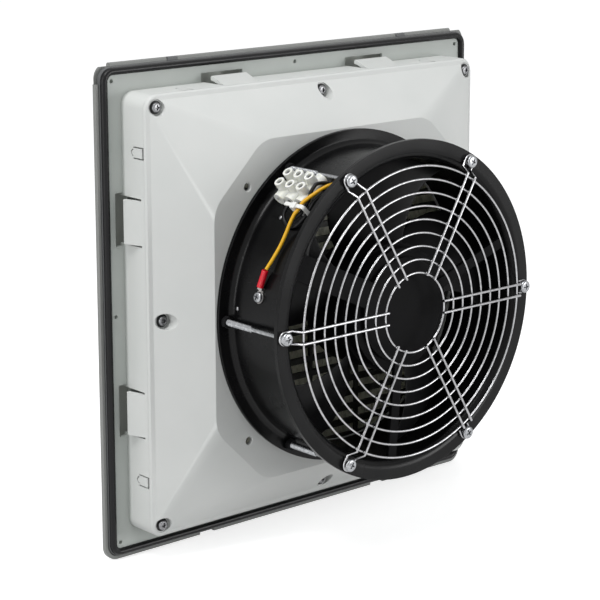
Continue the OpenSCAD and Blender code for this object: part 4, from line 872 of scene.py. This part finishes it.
# Filter mat: a fleece slab with soft edges and an uneven face
def make_filter_mat():
    low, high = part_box("filter_mat")
    half = (high[0] - low[0]) / 2
    y0, y1 = low[1], high[1]
    steps = 110
    rng = np.random.default_rng(11)
    waves = [(rng.uniform(40, 260), rng.uniform(0, 2 * math.pi), rng.uniform(0, 2 * math.pi))
             for _ in range(18)]

    def lump(x, z, shift):
        return sum(math.sin(f * (x * math.cos(a) + z * math.sin(a)) + p + shift) for f, a, p in waves) / 18

    points, faces = [], []
    for side, y in ((0, y0), (1, y1)):
        for i in range(steps + 1):
            for j in range(steps + 1):
                x, z = half * (2 * i / steps - 1), half * (2 * j / steps - 1)
                edge = min(half - abs(x), half - abs(z))
                sink = 0.0022 * math.exp(-edge / 0.0022) + 0.0007 * (0.6 + lump(x, z, 3.0 * side))
                points.append(Vector((x, y + (sink if side == 0 else -sink), z)))
    row = steps + 1
    back = row * row
    for i in range(steps):
        for j in range(steps):
            a = i * row + j
            faces.append((a, a + 1, a + row + 1, a + row))
            faces.append((back + a, back + a + row, back + a + row + 1, back + a + 1))
    rim = [i * row for i in range(steps)] + [steps * row + j for j in range(steps)]
    rim += [i * row + steps for i in range(steps, 0, -1)] + [j for j in range(steps, 0, -1)]
    for k in range(len(rim)):
        a, b = rim[k], rim[(k + 1) % len(rim)]
        faces.append((a, b, b + back, a + back))
    slab = mesh_piece("filter_fleece_mat", points, faces, 60)
    dress(slab, FLEECE, "frame", "filter_fibre", "filter_mat")


# Small round rivets on the barrel
def make_barrel_rivets():
    parts = []
    dome = [(0.05, 0.75), (0.7, 0.68), (1.2, 0.45), (1.5, 0.12), (1.55, -0.3), (0.05, -0.3)]
    for a, y in RIVET_PLACES:
        rings = [[Vector((h, r * math.cos(t), r * math.sin(t))) * MM
                  for t in np.linspace(0, 2 * math.pi, 20, endpoint=False)] for r, h in dome]
        parts.append(placed(skin(rings), barrel_frame(a, y, BARREL_R)))
    dress(joined("barrel_rivets", parts, 50), SCREW_DULL, "frame", "bright_zinc")


# CAD solids that stay

def round_light(piece, degrees=32):
    weld = piece.modifiers.new("weld", "WELD")
    weld.merge_threshold = 0.000002
    add_tree(piece, ROUNDED_LIGHT, {"Sharp Angle": math.radians(degrees)})


KEPT = {
    "mounting_frame": FRAME_GREY, "front_cover": COVER_GREY,
    "hinge_pin_1": SCREW_ZINC, "hinge_pin_2": SCREW_ZINC,
    "mat_support_grid": GRID_GREY, "rear_shroud": HOUSING_GREY, "fan_housing": FAN_BLACK,
    "guard_rings": WIRE_CHROME, "guard_arms": WIRE_CHROME,
    "motor_bracket": MOTOR_BLACK, "stator": MOTOR_BLACK, "rotor_hub": MOTOR_BLACK,
    "bearing_1": BEARING_STEEL, "bearing_2": BEARING_STEEL, "motor_shaft": BEARING_STEEL,
    "terminal_block": NYLON_WHITE, "terminal_screws": SCREW_ZINC, "cable_tie": TIE_WHITE,
    "lug_sleeve": SLEEVE_RED, "ring_lug": LUG_TIN, "earth_screw": SCREW_ZINC,
}

for name, material in KEPT.items():
    piece = solids[name]
    piece.data.materials.clear()
    piece.data.materials.append(material)
    round_light(piece, 12 if name == "rear_shroud" else 32)

make_screws()
make_guard_welds()
make_blades()
make_leads()
make_gasket()
make_filter_mat()
make_barrel_rivets()


# Floor, light and camera

# 1 for rays that see the white directly or in a shine, 0 for the light it throws on the part
def seen_directly(tree):
    rays = node(tree, "ShaderNodeLightPath").outputs
    shine = math_node(tree, "ADD", rays["Is Camera Ray"], rays["Is Glossy Ray"])
    return math_node(tree, "MINIMUM", math_node(tree, "ADD", shine, rays["Is Transmission Ray"]), 1.0)


def make_stage():
    low, _ = solids_box
    z = low[2] - 0.0005
    floor = mesh_piece("studio_floor", [(-6, -6, z), (6, -6, z), (6, 6, z), (-6, 6, z)], [(0, 1, 2, 3)])
    material = bpy.data.materials.new("floor_white")
    material.use_nodes = True
    tree = material.node_tree
    tree.nodes.clear()
    seen = seen_directly(tree)
    paper = node(tree, "ShaderNodeBsdfDiffuse", {"Color": (0.62, 0.62, 0.62, 1.0)})
    glow = node(tree, "ShaderNodeEmission", {
        "Color": (1.0, 1.0, 1.0, 1.0), "Strength": math_node(tree, "MULTIPLY", seen, 0.74)})
    both = node(tree, "ShaderNodeAddShader")
    tree.links.new(paper.outputs[0], both.inputs[0])
    tree.links.new(glow.outputs[0], both.inputs[1])
    node(tree, "ShaderNodeOutputMaterial", {"Surface": both.outputs[0]})
    floor.data.materials.append(material)

    world = bpy.data.worlds.new("studio")
    bpy.context.scene.world = world
    world.use_nodes = True
    tree = world.node_tree
    tree.nodes.clear()
    seen = seen_directly(tree)
    soft = node(tree, "ShaderNodeBackground", {"Color": (0.97, 0.985, 1.0, 1.0), "Strength": 0.46})
    white = node(tree, "ShaderNodeBackground", {"Color": (1.0, 1.0, 1.0, 1.0), "Strength": 1.0})
    both = node(tree, "ShaderNodeMixShader", {0: seen, 1: soft.outputs[0], 2: white.outputs[0]})
    node(tree, "ShaderNodeOutputWorld", {"Surface": both.outputs[0]})


def make_lamp(name, place, size, watts, aim=(0.0, 0.06, 0.0)):
    light = bpy.data.lights.new(name, "AREA")
    light.shape = "RECTANGLE"
    light.size, light.size_y = size
    light.energy = watts
    lamp = bpy.data.objects.new(name, light)
    lamp.location = place
    lamp.rotation_euler = (Vector(aim) - Vector(place)).to_track_quat("-Z", "Y").to_euler()
    bpy.context.scene.collection.objects.link(lamp)


# Camera fitted to the photograph: focal length and principal point in pixels, eye in mm, angles in radians
def make_camera():
    picture, focal, cx, cy = 600.0, 2079.0, 315.0, 240.0
    eye = Vector((902.9, 1040.2, 322.8)) * MM
    yaw, pitch = 0.7246, -0.2103
    ahead = Vector((-math.sin(yaw) * math.cos(pitch), -math.cos(yaw) * math.cos(pitch), math.sin(pitch)))
    right = ahead.cross(Vector((0, 0, 1))).normalized()
    up = right.cross(ahead)
    data = bpy.data.cameras.new("camera")
    data.sensor_width = 36.0
    data.lens = focal * data.sensor_width / picture
    data.shift_x = (picture / 2 - cx) / picture
    data.shift_y = (cy - picture / 2) / picture
    data.clip_start = 0.05
    camera = bpy.data.objects.new("camera", data)
    turn = Matrix((right, up, -ahead)).transposed()
    camera.matrix_world = Matrix.Translation(eye) @ turn.to_4x4()
    bpy.context.scene.collection.objects.link(camera)
    bpy.context.scene.camera = camera


make_stage()
make_lamp("key", (0.9, 0.35, 1.7), (0.7, 0.7), 15.5)
make_lamp("top", (0.2, 0.3, 1.6), (0.5, 0.5), 4.0)
make_lamp("strip", (1.75, 0.1, 0.4), (0.25, 1.4), 9.0)
make_lamp("side", (-0.9, 1.5, 0.15), (0.6, 0.6), 9.0)
make_camera()
bpy.context.scene.view_settings.view_transform = "Standard"
